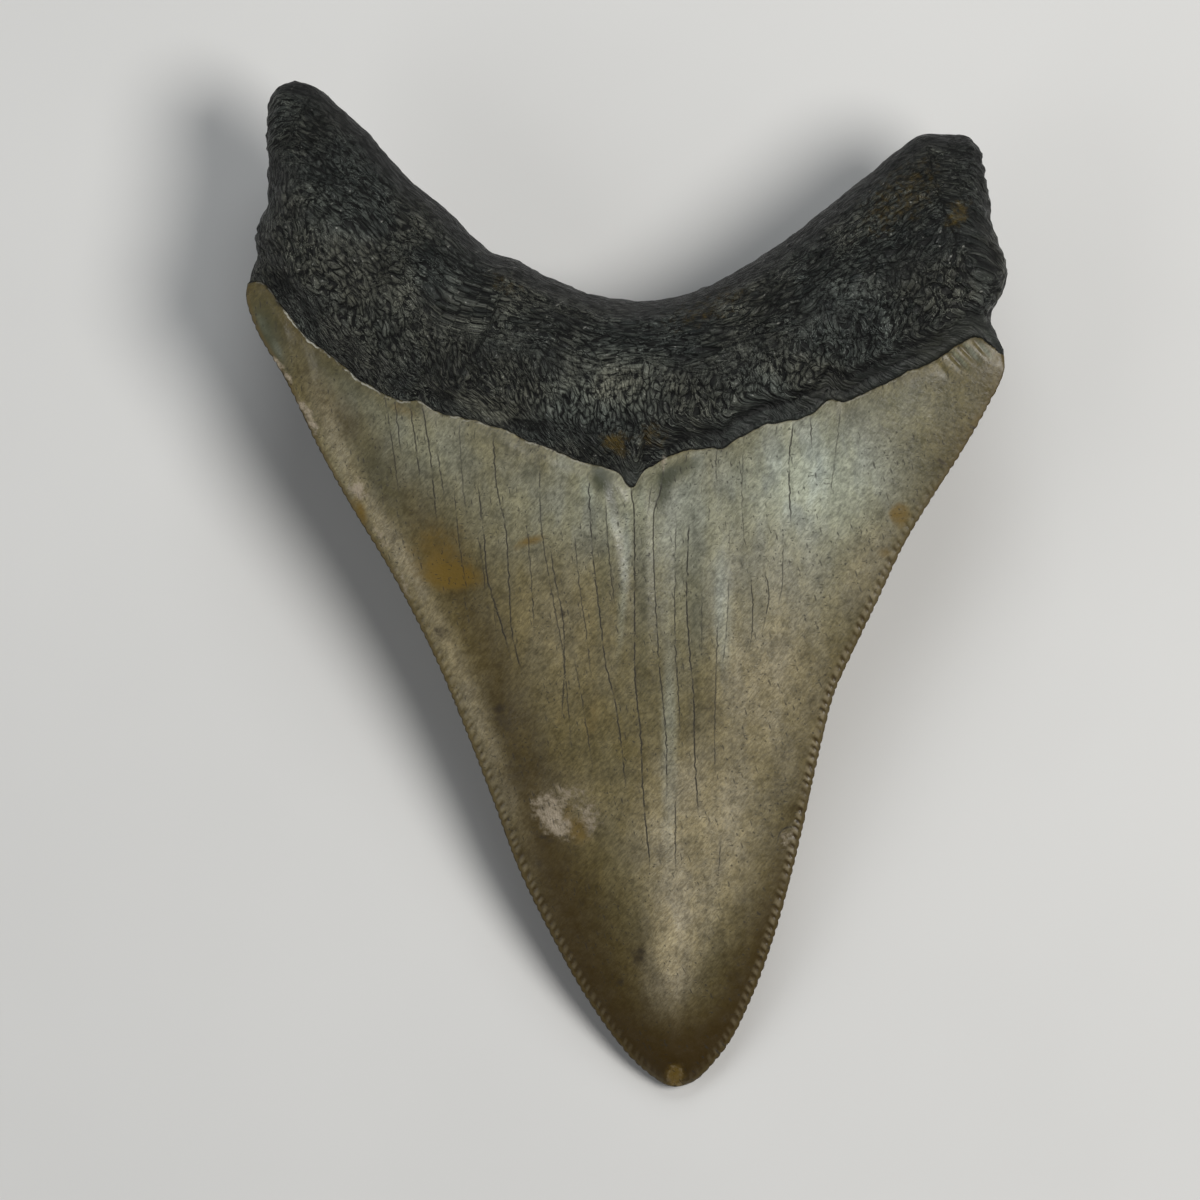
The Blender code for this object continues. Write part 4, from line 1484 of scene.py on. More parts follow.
        # The last layer is partly painted shade in dents and fold grooves.
        layers = ((self.bruise, Mask.SCAR, 2.4, 1.5), (self.ochre, Mask.STAIN, 1.0, 0.8),
                  (self.smudge, Mask.SMUDGE, 1.3, 1.6))
        masks = []
        for stain, mask, break_up, per_mm in layers:
            layer = graph.group(effects.stained, {
                "Colour": colour, "Stain": stain, "Mask": graph.mask(mask), "Break-up": break_up,
                "Grain per mm": per_mm})
            colour = layer.outputs["Colour"]
            masks.append(layer.outputs["Mask"])
        return colour, masks[1]

    @staticmethod
    def edge_line(graph: Graph) -> Socket:
        """Adds the thin broken light line where the enamel ends, partly its thin edge and partly a painted
        catch light on it.

        Args:
            graph: The material's graph.

        Returns:
            The line's mask.
        """
        place = graph.millimetres()
        ragged = graph.times(graph.minus(graph.noise(place, 1.9, 3.0), 0.5), 0.5)
        over = graph.plus(graph.mask(Mask.OVER), ragged)
        line = graph.times(graph.spread(over, -0.22, -0.12), graph.spread(over, 0.03, -0.05))
        patchy = graph.spread(graph.noise(place, 1.1, 2.0), 0.4, 0.6, 0.0, 1.0)
        return graph.times(graph.times(line, patchy), graph.mask(Mask.LIP))


@dataclass(frozen=True)
class RootFinish(Finish):
    """Charcoal root: black in its creases, partly its own near-black and partly painted shade, grey on its
    strokes, with olive and ochre stains; painted glints on its ridges and painted shade in its grooves,
    where it meets the enamel and along its basal edge.
    """

    # Near-black, partly the root's own and partly painted shade in creases, grooves, along the enamel's end
    # and along the basal edge.
    crease_shade: Colour = (0.0014, 0.0018, 0.0015)
    dim: Colour = (0.0130, 0.0155, 0.0145)
    rope: Colour = (0.0540, 0.0560, 0.0500)
    pale_rope: Colour = (0.210, 0.214, 0.182)
    band: Colour = (0.0260, 0.0285, 0.0250)
    # Painted glints on the thin ridge lines of the strokes.
    ridge_glint: Colour = (0.230, 0.240, 0.215)
    teal: Colour = (0.92, 1.02, 1.01)
    olive: Colour = (1.03, 1.02, 0.90)
    ochre: Colour = (0.105, 0.070, 0.010)
    bruise: Colour = (0.300, 0.280, 0.230)
    glint: Colour = (0.30, 0.30, 0.27)
    roughness: float = 0.42
    specular: float = 0.27

    def material(self, effects: Effects) -> Material:
        """Builds the root's material.

        Args:
            effects: The shared node groups.

        Returns:
            The material.
        """
        made, graph, shader = self.begin("fossil_root")
        height, tone, line, within = self.strokes(graph, effects)
        band = graph.mask(Mask.BAND)
        calm = graph.minus(1.0, graph.times(band, 0.75))
        raised = graph.times(graph.minus(height, 0.5), 1.5)
        raised = graph.plus(raised, graph.times(graph.mask(Mask.RELIEF), 0.2))
        raised = graph.times(raised, calm)
        rope = graph.mix(graph.spread(tone, 0.1, 0.9), self.dim, self.rope)
        rope = graph.mix(graph.mask(Mask.PALE), rope, self.pale_rope)
        rope = graph.mix(graph.times(band, 0.6), rope, self.band)
        # Painted shade: the strokes' low places take the near-black.
        colour = graph.mix(graph.spread(raised, -0.45, 0.5), self.crease_shade, rope)
        # Painted shade in the walls between the strokes.
        cut = graph.times(graph.minus(1.0, within), calm)
        colour = graph.mix(graph.times(cut, 0.8), colour, self.crease_shade)
        # Painted shade along the basal edge and on the darker root patches.
        shade = graph.times(graph.maths("MAXIMUM", graph.mask(Mask.RIM), graph.mask(Mask.VEIL)), 0.8)
        colour = graph.mix(shade, colour, self.crease_shade)
        # Painted shadow in the grooves and pockets beside the ledge and in the deepest creases.
        colour = graph.mix(graph.spread(graph.mask(Mask.RELIEF), -1.1, -2.0), colour, self.crease_shade)
        # Painted glints along the strokes' ridge lines, in patches and away from the shaded places.
        patchy = graph.spread(graph.noise(graph.millimetres(), 0.3, 3.0), 0.38, 0.62, 0.1, 0.62)
        line = graph.times(graph.times(line, patchy),
                           graph.minus(calm, shade, True))
        colour = graph.mix(line, colour, self.ridge_glint)
        share = graph.spread(graph.noise(graph.millimetres(), 0.11, 2.0), 0.38, 0.62)
        colour = graph.mix(0.85, colour, graph.mix(share, self.teal, self.olive), "MULTIPLY")
        # Painted shadow: a thin dark line on the root where it meets the enamel, fainter where the enamel's
        # edge line is strong.
        contact_shadow = graph.spread(graph.mask(Mask.OVER), 0.22, 0.06)
        contact_shadow = graph.times(contact_shadow, graph.minus(0.9, graph.mask(Mask.LIP)), True)
        colour = graph.mix(contact_shadow, colour, self.crease_shade)
        mottled = graph.group(effects.mottle, {
            "Colour": colour, "Patch per mm": 0.22, "Amount": 0.9, "Streak": 0.1, "Grain": 0.5})
        stained = graph.group(effects.stained, {
            "Colour": mottled.outputs["Colour"], "Stain": self.ochre, "Mask": graph.mask(Mask.STAIN),
            "Break-up": 1.3, "Grain per mm": 1.6})
        glints = graph.group(effects.specks, {
            "Cells per mm": 1.2, "Size": 0.15, "Share": 0.14, "Stretch": 1.0, "Seed": 23.0})
        sparkle = graph.times(glints.outputs["Mask"], graph.spread(raised, -0.1, 0.3, 0.05, 0.6))
        colour = graph.mix(sparkle, stained.outputs["Colour"], self.glint)
        colour = graph.mix(graph.mask(Mask.SCAR), colour, self.bruise)
        graph.feed(shader.inputs["Base Color"], colour)
        rough = graph.spread(raised, -0.4, 0.4, self.roughness + 0.28, self.roughness - 0.06)
        graph.feed(shader.inputs["Roughness"], rough)
        grain = graph.group(effects.grain, {"Fine per mm": 3.0, "Fine height": 0.05, "Drawn height": 0.0})
        ropes = graph.times(graph.times(height, calm), 0.4)
        ropes = graph.minus(ropes, graph.times(cut, 0.09))
        self.bump(graph, shader, graph.plus(grain.outputs["Height"], ropes))
        shader.inputs["Specular IOR Level"].default_value = self.specular
        return made

    @staticmethod
    def strokes(graph: Graph, effects: Effects) -> list[Socket]:
        """Adds the strokes that follow the arch and those that run down to the enamel.

        Args:
            graph: The material's graph.
            effects: The shared node groups.

        Returns:
            The strokes' height, their tone, the lines on their ridges and, for the creases, how far
            inside a stroke each place is, all from 0 to 1.
        """
        fields = []
        for name, length, width in (("flow", 1.15, 0.5), ("fall", 1.0, 0.46)):
            field = graph.stored(name).outputs["Vector"]
            strokes = graph.group(effects.strokes, {
                "Field": field, "Length": length, "Width": width, "Bend": 1.6})
            fields.append(strokes)
        share = graph.mask(Mask.FAN)
        mixed = []
        for name in ("Height", "Tone", "Line", "Inside"):
            node = graph.node("Mix", {0: share}, data_type="FLOAT")
            graph.feed(node.inputs[2], fields[0].outputs[name])
            graph.feed(node.inputs[3], fields[1].outputs[name])
            mixed.append(node.outputs[0])
        return mixed


@dataclass(frozen=True)
class NeckFinish(Finish):
    """The neck band: dark, finely ribbed and duller than the enamel."""

    # Darker creases between the ribs, partly painted shade.
    crease_shade: Colour = (0.012, 0.011, 0.009)
    rib: Colour = (0.066, 0.060, 0.047)
    ochre: Colour = (0.110, 0.078, 0.022)
    roughness: float = 0.52

    def material(self, effects: Effects) -> Material:
        """Builds the neck band's material.

        Args:
            effects: The shared node groups.

        Returns:
            The material.
        """
        made, graph, shader = self.begin("fossil_neck")
        field = graph.stored("fall").outputs["Vector"]
        ribs = graph.group(effects.strokes, {"Field": field, "Length": 3.2, "Width": 0.38, "Bend": 0.8})
        # Painted shade: the creases between the ribs are darker.
        colour = graph.mix(graph.spread(ribs.outputs["Height"], 0.25, 0.75), self.crease_shade, self.rib)
        mottled = graph.group(effects.mottle, {
            "Colour": colour, "Patch per mm": 0.4, "Amount": 0.9, "Streak": 0.4, "Grain": 0.3})
        stained = graph.group(effects.stained, {
            "Colour": mottled.outputs["Colour"], "Stain": self.ochre, "Mask": graph.mask(Mask.STAIN),
            "Break-up": 1.1, "Grain per mm": 1.3})
        graph.feed(shader.inputs["Base Color"], stained.outputs["Colour"])
        rough = graph.noise(graph.millimetres(), 1.2, 2.0)
        rough = graph.spread(rough, 0.3, 0.7, self.roughness - 0.08, self.roughness + 0.1)
        graph.feed(shader.inputs["Roughness"], rough)
        grain = graph.group(effects.grain, {
            "Fine per mm": 3.0, "Fine height": 0.05, "Drawn height": 0.05})
        height = graph.times(ribs.outputs["Height"], 0.12)
        self.bump(graph, shader, graph.plus(grain.outputs["Height"], height))
        return made


@dataclass(frozen=True)
class Weathering:
    """Where the tooth is paler, warmer, browner, stained or scarred, as soft patches on its two faces. Part
    of the paler and warmer patches is painted sheen and light, and part of the browner, veiled and darker
    ones is painted shade.
    """

    # Paler patches: partly the enamel's own tone, partly a painted sheen and painted highlights on ridges,
    # folds and the upper right of the crown.
    pale: tuple[Spot, ...] = each(
        Spot,
        (18.6, 11, 7.6, 6.5, 0.76, 0, 1), (-1, 8, 14, 5.5, 0.36, 0, 1), (-21, 14, 8, 4.5, 0.26, 0, 1),
        (6, 0, 6, 8, 0.2, 0, 1), (16, 0, 6, 6, 0.2, 0, 1), (28, 18, 4, 2.6, 0.14, 0, 1),
        (-6.4, 12.4, 1.5, 1.2, 0.12, -30), (-1.3, 6.4, 0.5, 2.2, 0.14, 22),
        (-0.35, 0.5, 0.4, 6.5, 0.24, -4), (1.3, 8.4, 0.35, 1.3, 0.15, -8),
        (5.7, 9.6, 0.9, 1.9, 0.08, -30), (6.9, 12.2, 0.8, 1.2, 0.15, -20),
        (4.2, -17, 0.8, 10, 0.26, 0, 2), (9.6, -2, 1, 6, 0.16, 2, 2), (-27.6, 19, 5.5, 1.5, 0.22, -36, 1),
        (-4.1, 9.6, 0.5, 1.6, 0.25, 15), (9.4, -3.5, 0.6, 5, 0.25, 2), (33.1, 22.6, 0.28, 1.3, 0.5, 42),
        (34.3, 23.3, 0.3, 1.3, 0.5, 42), (35.6, 23.6, 0.25, 1.2, 0.5, 40),
        (-36.3, 26, 0.35, 1.2, 0.5, 25), (-35, 23.8, 0.3, 1.1, 0.5, 25),
    )
    # Warmer patches: partly the enamel's own tone, partly painted light on the right half and on the lit
    # side of the ridge near the tip.
    warm: tuple[Spot, ...] = each(
        Spot,
        (14, -8, 5.6, 12, 0.52, 0, 1), (6.8, -25.5, 6.8, 9.5, 0.5, 4, 1.8),
        (4.4, -37, 2.8, 6, 0.76, -6, 1.3), (4.9, -44, 0.9, 4, 0.22, 0, 1), (-6, -22, 4, 3.6, 0.3, 0, 1.2),
        (-7, -6, 7, 9, 0.2, 0, 1), (-30, 17.4, 1, 3.6, 0.18, 22), (24, 2, 2.4, 5, 0.22, -25),
    )
    stain: tuple[Spot, ...] = each(
        Spot,
        (-18.9, 3.6, 3.2, 3.2, 0.62, -25, 1.2), (-17.2, 0.8, 3, 1.5, 0.9, 0, 1.2),
        (-9.4, 4.6, 1.2, 0.5, 0.75, 15), (-10.9, 4, 0.8, 0.5, 0.4, 15),
        (27.2, 7.1, 1.2, 1.4, 0.78, 0, 2.2), (25.6, 3.4, 0.8, 0.6, 0.5), (-3.6, -13.2, 1, 2.8, 0.34, -12),
        (-6.6, -13, 1.2, 1.2, 0.22), (-4.9, -24.5, 1.2, 1.6, 0.66, 20), (-6, -22.6, 0.5, 0.8, 0.6, -20),
        (4.8, -49.2, 1, 1.3, 0.95), (-26.6, 7.4, 0.6, 1.8, 0.7, 25), (34.6, 15.8, 0.9, 1.8, 0.3, -30),
        (-22.5, 17.6, 1.7, 0.7, 0.5, -20), (-1.4, 14.4, 1.3, 1, 0.62), (-0.6, 13.3, 0.7, 0.6, 0.55),
        (2.4, 14.9, 1.6, 1.4, 0.34), (-12.2, 30, 2, 1.1, 0.24, -30), (32.8, 37, 1.1, 1.8, 0.45, -30),
        (27, 38.5, 5, 2.6, 0.3, 40), (8, 27.6, 5, 1.6, 0.25, 20),
    )
    # Dark marks: partly pits and dark patches, partly painted shade in dents and in the grooves of the
    # right shoulder's folds.
    smudge: tuple[Spot, ...] = each(
        Spot,
        (-18.7, -4.6, 1, 0.7, 0.62, -35), (-12.8, -12.2, 1, 0.35, 0.55, 12),
        (-12.4, -13.2, 1.6, 1.3, 0.35), (-11.4, -17, 1.2, 5, 0.42, 18), (8.4, -12.6, 1, 2.6, 0.34),
        (15.3, -18.6, 0.9, 4.6, 0.38, -14), (9.1, -28, 0.7, 2.4, 0.4), (10.8, -39.5, 1, 1.4, 0.3),
        (-24.4, 8.8, 0.6, 0.6, 0.45), (-9.8, 11.2, 0.8, 0.8, 0.35), (5.2, -20, 0.3, 0.3, 0.5),
        (1.1, -37.1, 0.85, 1.1, 0.8, 0, 1.2), (-0.7, -39.7, 0.35, 0.8, 0.75, -30),
        (-8.3, -25.2, 1.3, 0.3, 0.75, -25), (-6.5, -2.8, 0.45, 0.5, 0.8),
        (-8.9, -27.9, 0.4, 0.7, 0.6, 20), (-4.6, -31.8, 0.35, 0.4, 0.7), (3.3, -26.4, 0.35, 1, 0.5),
        (17.6, -8, 3, 9, 0.12, -12), (33, 22.3, 0.16, 1.2, 0.6, 45), (34.1, 23, 0.16, 1.2, 0.6, 45),
        (35.3, 23.7, 0.15, 1, 0.5, 42), (31.3, 12.4, 0.9, 0.25, 0.7, -35),
        (34.6, 15.7, 0.6, 0.2, 0.7, -30),
    )
    scar: tuple[Spot, ...] = each(
        Spot,
        (-7.1, -23.7, 1.8, 1.2, 0.85, -35), (-8.3, -21.9, 1.3, 1.3, 0.5, 30),
        (-3.8, -23.3, 1.1, 1.5, 0.62), (-5.9, -21.2, 2.2, 1.3, 0.4), (16.1, -25.2, 0.8, 1.1, 0.22, -20),
        (4.8, -49.3, 0.85, 1.25, 0.6, 0, 3), (3.6, 12.3, 0.14, 0.85, 1, -6),
        (-35, 22.1, 0.5, 0.9, 0.75, 25), (-33.8, 20.8, 0.3, 0.7, 0.6, 25),
        (-32.1, 17.4, 0.45, 1.5, 0.75, 25), (-31.2, 15.8, 0.4, 0.8, 0.6, 25),
        (-26.9, 9.6, 0.8, 1.1, 0.75, 25), (-24.6, 4.8, 0.4, 1.6, 0.5, 28),
        (-22.3, 0.2, 0.4, 1.6, 0.45, 28),
    )
    # Dark olive patches: partly their own colour, partly painted shade in valleys beside folds and cracks
    # and near the enamel's end.
    veil: tuple[Spot, ...] = each(
        Spot,
        (-29.4, 21.4, 5.5, 1, 0.4, -38, 1), (-35.5, 28, 2, 2.4, 0.3, 0, 1),
        (-36, 24.2, 1.7, 4, 0.8, 20, 1.2), (-15, 15.4, 9, 0.8, 0.25, -18, 1),
        (4.6, 11.3, 2.6, 0.8, 0.8, 26), (3.7, 9.6, 0.8, 2, 0.95, -14), (-2.6, 10.6, 1.1, 1.7, 1, 18),
        (-1.5, 8.2, 0.45, 1.8, 0.75, 12), (6.9, -2, 0.7, 6, 0.3, 1, 2),
        (12.6, -1.5, 1.7, 5, 0.26, 2, 1.6), (-2.5, -1, 0.5, 6, 0.25, -5, 2), (1.7, -3, 0.5, 8, 0.2, 0, 2),
        (11, 11.2, 0.9, 1.6, 0.3), (9, 13, 1.2, 0.8, 0.3), (24, 17.4, 9, 1, 0.3, 27, 1),
        (29.5, 12.5, 3.2, 3.4, 0.22, 0, 1), (33, 19, 3, 3, 0.25, 0, 1), (-24.5, 10.5, 1.6, 4.5, 0.3, 26),
        (11.5, 7, 1, 5, 0.14), (-9.8, 11.2, 0.8, 0.8, 0.4),
    )
    root_pale: tuple[Spot, ...] = each(
        Spot,
        (-2.5, 19.4, 7.5, 3, 0.62, 8, 1.2), (-13.3, 17.5, 4.4, 0.95, 0.85, -19, 2),
        (0.2, 11.4, 2, 1.4, 0.3), (-26, 28.5, 7, 4, 0.22, -40, 1), (15, 20.5, 8, 2, 0.2, 22, 1),
        (-30, 37, 3.5, 2.2, 0.22, -30),
    )
    # Darker root patches, which the root finish paints as shade.
    root_dark: tuple[Spot, ...] = each(
        Spot,
        (31, 38, 7.5, 9, 0.55, -20, 1.2), (-32, 42, 5, 7, 0.3, 0, 1.2), (-8, 26.5, 6, 1.6, 0.3, -12, 1.2),
        (14, 28, 8, 2, 0.3, 30, 1.2),
    )
    glow_left: Line = ((0.0, 0.05), (12.0, 0.12), (25.0, 0.3), (40.0, 0.5), (54.0, 0.55), (64.0, 0.35),
                       (70.0, 0.1), (82.0, 0.0))
    glow_place: tuple[float, float] = (1.7, 1.1)
    # The darker bands inside the left and right edges, partly painted shade: their widths, the left band's
    # inset and their strengths.
    brown_left: Line = ((0.0, 14.0), (6.0, 8.0), (15.0, 5.8), (30.0, 3.7), (45.0, 3.0), (60.0, 2.6),
                        (82.0, 2.6))
    brown_right: Line = ((0.0, 14.0), (6.0, 6.0), (12.0, 4.6), (22.0, 3.6), (32.0, 2.6), (60.0, 2.8),
                         (82.0, 4.0))
    centre_left: Line = ((0.0, 0.0), (10.0, 0.5), (20.0, 2.6), (35.0, 4.4), (60.0, 4.6), (82.0, 2.0))
    deep_left: Line = ((0.0, 1.0), (15.0, 0.88), (30.0, 0.68), (50.0, 0.48), (82.0, 0.45))
    deep_right: Line = ((0.0, 1.0), (12.0, 0.9), (24.0, 0.66), (36.0, 0.4), (60.0, 0.3), (82.0, 0.35))
    lingual_shift: tuple[float, float] = (7.0, -5.0)

    def layer(self, spots: tuple[Spot, ...], place: Place) -> Array:
        """Adds up a layer's patches at each point; the lingual face has them mirrored and moved.

        Args:
            spots: The layer's patches.
            place: The points.

        Returns:
            The sums, from 0 to 1.
        """
        if place.face is Face.LINGUAL:
            dx, dy = self.lingual_shift
            spots = tuple(Spot(dx - s.x, s.y + dy, s.across, s.along, s.amount, -s.turn, s.power)
                          for s in spots)
        return np.clip(sum(spot.at(place) for spot in spots), 0.0, 1.0)

    def brown(self, place: Place) -> Array:
        """Gives how far the enamel darkens towards its edges: partly its own clear brownish tone, partly
        painted shade on the edges and the left side turned from the light.

        Args:
            place: The points.

        Returns:
            The shares, from 0 to 1.
        """
        left = place.to_left - place.down(self.centre_left)
        left = (left / place.down(self.brown_left)) ** 2
        right = (place.to_right / place.down(self.brown_right)) ** 2
        left = place.down(self.deep_left) * np.exp(-left)
        right = place.down(self.deep_right) * np.exp(-right)
        return np.clip(left + right - left * right, 0.0, 1.0)

    def masks(self, place: Place, on_root: Array) -> dict[Mask, Array]:
        """Gives every layer's value at each point.

        Args:
            place: The points.
            on_root: 1 on the root and 0 on the crown.

        Returns:
            The values by mask.
        """
        layers = {Mask.PALE: self.pale, Mask.WARM: self.warm, Mask.STAIN: self.stain,
                  Mask.SMUDGE: self.smudge, Mask.SCAR: self.scar, Mask.VEIL: self.veil}
        found = {mask: self.layer(spots, place) for mask, spots in layers.items()}
        found[Mask.PALE] += (self.layer(self.root_pale, place) - found[Mask.PALE]) * on_root
        # On the root this mask takes the darker root patches, painted as shade.
        found[Mask.VEIL] += (self.layer(self.root_dark, place) - found[Mask.VEIL]) * on_root
        found[Mask.BROWN] = self.brown(place)
        centre, half_width = self.glow_place
        glow = place.down(self.glow_left) * np.exp(-(((place.to_left - centre) / half_width) ** 2))
        found[Mask.WARM] = np.clip(found[Mask.WARM] + glow, 0.0, 1.0)
        return found


@dataclass
class Skin:
    """One face of the tooth: its points, their heights, fine relief and stored values."""

    points: Array
    height: Array
    relief: Array
    masks: dict[Mask, Array]
    fields: list[Array]
    triangles: Array


@dataclass
class Tooth:
    """The whole tooth, built as one closed mesh from its outline, crown, root and junctions."""

    outline: Outline
    crown: Crown
    root: Root
    junction: Junction
    weathering: Weathering
    labial_root_step: float = 0.31
    labial_crown_step: float = 0.42
    lingual_root_step: float = 0.46
    lingual_crown_step: float = 0.64
    labial_rings: tuple[float, ...] = (0.13, 0.27, 0.43, 0.61, 0.82, 1.06, 1.34)
    lingual_rings: tuple[float, ...] = (0.22, 0.5, 0.85, 1.25)
    wall_angles: tuple[float, ...] = (7.0, 13.0, 19.0, 25.0, 31.0, 37.0, 43.0)
    crowding: float = 0.72
    ring_inset: float = 0.6
    ring_gap: float = 0.45
    ring_gap_depth: float = 0.25
    feature_inset: float = 0.1
    lattice_inset: float = 0.5
    root_span: tuple[float, float] = (4.0, 51.0)
    crown_span: tuple[float, float] = (-51.0, 31.0)
    overlap: float = 0.6
    line_gap: float = 0.09
    crack_gap: float = 0.07
    spot_gap: float = 0.12
    neck_gap: float = 0.16
    fold_step: float = 0.3
    fine_fold: float = 0.4
    least_rise: float = 0.02

    def gather(self, face: Face) -> Array:
        """Collects the points of one face, the outline's first.

        Args:
            face: The face.

        Returns:
            Its points, dense where it has fine forms.
        """
        labial = face is Face.LABIAL
        loop = self.outline.loop()
        closed = np.vstack([loop, loop[:1]])
        radius = self.root.labial_round if labial else self.root.lingual_round
        walls = tuple(radius * (1.0 - math.cos(math.radians(angle))) for angle in self.wall_angles)
        points = loop
        depths = [(depth, True) for depth in (self.labial_rings if labial else self.lingual_rings)]
        depths += [(depth, False) for depth in walls]
        for depth, crown in depths:
            parts = self.outline.serrations.parts if labial else self.outline.serrations.parts // 2
            ring = self.outline.rings((depth,), parts, ()) if crown else self.outline.rings((), 1, (depth,))
            ring = ring[inside(ring, loop)]
            ring = ring[nearest(ring, closed)[0] > self.ring_inset * depth]
            gap = self.ring_gap * min(depth, self.ring_gap_depth)
            points = np.vstack([points, clear_of(points, ring, gap)])
        for new, gap in self.features(labial):
            new = new[inside(new, loop)]
            new = new[nearest(new, closed)[0] > self.feature_inset]
            points = np.vstack([points, clear_of(points, new, gap)])
        line = self.junction.labial if labial else self.junction.neck_top
        steps = (self.labial_root_step, self.labial_crown_step)
        if not labial:
            steps = (self.lingual_root_step, self.lingual_crown_step)
        for step, on_root in zip(steps, (True, False)):
            new = lattice(step, *(self.root_span if on_root else self.crown_span))
            over = line.over(*new.T)
            new = new[over > -self.overlap] if on_root else new[over <= -self.overlap]
            new = new[inside(new, loop)]
            new = new[nearest(new, closed)[0] > self.lattice_inset * step]
            points = np.vstack([points, clear_of(points, new, self.crowding * step)])
        return points

    def features(self, labial: bool) -> list[tuple[Array, float]]:
        """Lists the points that fine forms need, with the gap that each group keeps.

        Args:
            labial: True for the labial face.

        Returns:
            Groups of points, each with its least distance to points already there.
        """
        step = self.junction.ledge_width
        if labial:
            lines = [self.junction.labial.beside(k * step) for k in (0.0, 0.5, 1.0, -0.8)]
            cracks = self.crown.cracks.points()
            spots = [spot.rings((0.0, 0.25, 0.5, 0.8, 1.1)) for spot in self.crown.spots]
            spots += [fold.points(self.fold_step) for fold in self.crown.folds
                      if fold.half_width < self.fine_fold]
            spots = [(spot, self.spot_gap) for spot in spots]
            return [(line, self.line_gap) for line in lines] + [(cracks, self.crack_gap)] + spots
        lines = [line.beside(k * step) for line in (self.junction.neck_top, self.junction.neck_bottom)
                 for k in (0.0, 1.0)]
        pit = self.root.foramen.rings((0.0, 0.3, 0.6, 0.85, 1.1, 1.4), 18)
        return [(line, self.neck_gap) for line in lines] + [(pit, self.spot_gap)]

    def skin(self, face: Face) -> Skin:
        """Works out one face.

        Args:
            face: The face.

        Returns:
            Its points, heights, relief, stored values and triangles.
        """
        count = len(self.outline.loop())
        points = self.gather(face)
        place = Place(points, self.outline, face)
        over_labial = self.junction.labial.over(place.x, place.y)
        crown_edge = self.crown.edge(place)
        edge = crown_edge + (self.root.edge(place) - crown_edge) * self.junction.root_share(over_labial)
        if face is Face.LABIAL:
            over = over_labial
            crown, root = self.crown.labial(place), self.root.labial(place, edge)
            crown = crown + edge - crown_edge
            height = crown + (root - crown) * self.junction.root_share(over)
            height = height + self.junction.labial_step(place, over)
            height = np.maximum(height, edge + self.least_rise)
        else:
            over = self.junction.neck_top.over(place.x, place.y)
            crown, root = self.crown.lingual(place) + edge - crown_edge, self.root.lingual(place, edge)
            height = crown + (root - crown) * self.junction.root_share(over)
            height = height + self.junction.lingual_step(place) + self.root.foramen.at(place)
            height = np.minimum(height, edge - self.least_rise)
        height[:count] = edge[:count]
        on_root = smoothstep(over, -0.1, 0.1)
        masks = self.weathering.masks(place, on_root)
        crack = self.crown.cracks.mask(place) if face is Face.LABIAL else np.zeros(len(points))
        masks[Mask.CRACK] = crack
        ropes = self.root.texture(place, height, over)
        calm = self.junction.calm(place, over) if face is Face.LABIAL else np.zeros(len(points))
        ropes = ropes * (1.0 - 0.6 * calm)
        enamel = self.crown.texture(place, crack, masks[Mask.SCAR])
        pocket = self.junction.groove(place, over) if face is Face.LABIAL else 0.0
        saw = self.outline.serrations
        inner = smoothstep(place.to_edge, 0.0, 0.5)
        relief = on_root * self.root.rope_height * ropes + (1 - on_root) * inner * enamel
        relief -= (1 - on_root) * saw.hollow_depth * place.hollow
        # The relief mask also carries the grooves and pockets, which the root finish paints as shadow.
        masks[Mask.RELIEF] = ropes - 4.0 * pocket
        masks[Mask.RIB] = place.rib
        masks[Mask.HOLLOW] = place.hollow
        # On the root the rim mask is painted shade along the basal edge.
        root_rim = 1.0 - smoothstep(place.to_basal, 0.3, self.root.rim_width)
        enamel_rim = 1.0 - smoothstep(place.to_cutting, *saw.rim)
        masks[Mask.RIM] = np.where(over > 0.0, root_rim, enamel_rim)
        masks[Mask.OVER] = np.clip(over, -2.0, 2.0)
        # Strength of the light line at the enamel's end, partly a painted catch light.
        masks[Mask.LIP] = profile(self.junction.lip_strength, place.x) * (face is Face.LABIAL)
        basal_band = 0.6 * (1.0 - smoothstep(place.to_basal, 0.6, self.root.rim_width))
        masks[Mask.BAND] = np.maximum(basal_band, calm)
        masks[Mask.FAN] = self.root.fan(place, over)
        climb = np.abs(height - edge)
        fields = [np.column_stack([field[:, 0], field[:, 1] + climb, 0.0 * climb])
                  for field in (self.root.flow(place), self.root.fall(place))]
        triangles = self.triangulate(points, count)
        LOG.info("%s face: %d points, %d triangles", face.name.lower(), len(points), len(triangles))
        return Skin(points, height, relief, masks, fields, triangles)

    @staticmethod
    def triangulate(points: Array, count: int) -> Array:
        """Joins points into Delaunay triangles inside their outline.

        Args:
            points: The points, the outline's first.
            count: How many of them are the outline's.

        Returns:
            Three point numbers for each triangle, anticlockwise seen from above.
        """
        outline = [list(range(count))]
        made = delaunay_2d_cdt([Vector(p) for p in points.tolist()], [], outline, 1, SAME_POINT)
        source = np.array([origin[0] for origin in made[3]])
        return source[np.array(made[2])]

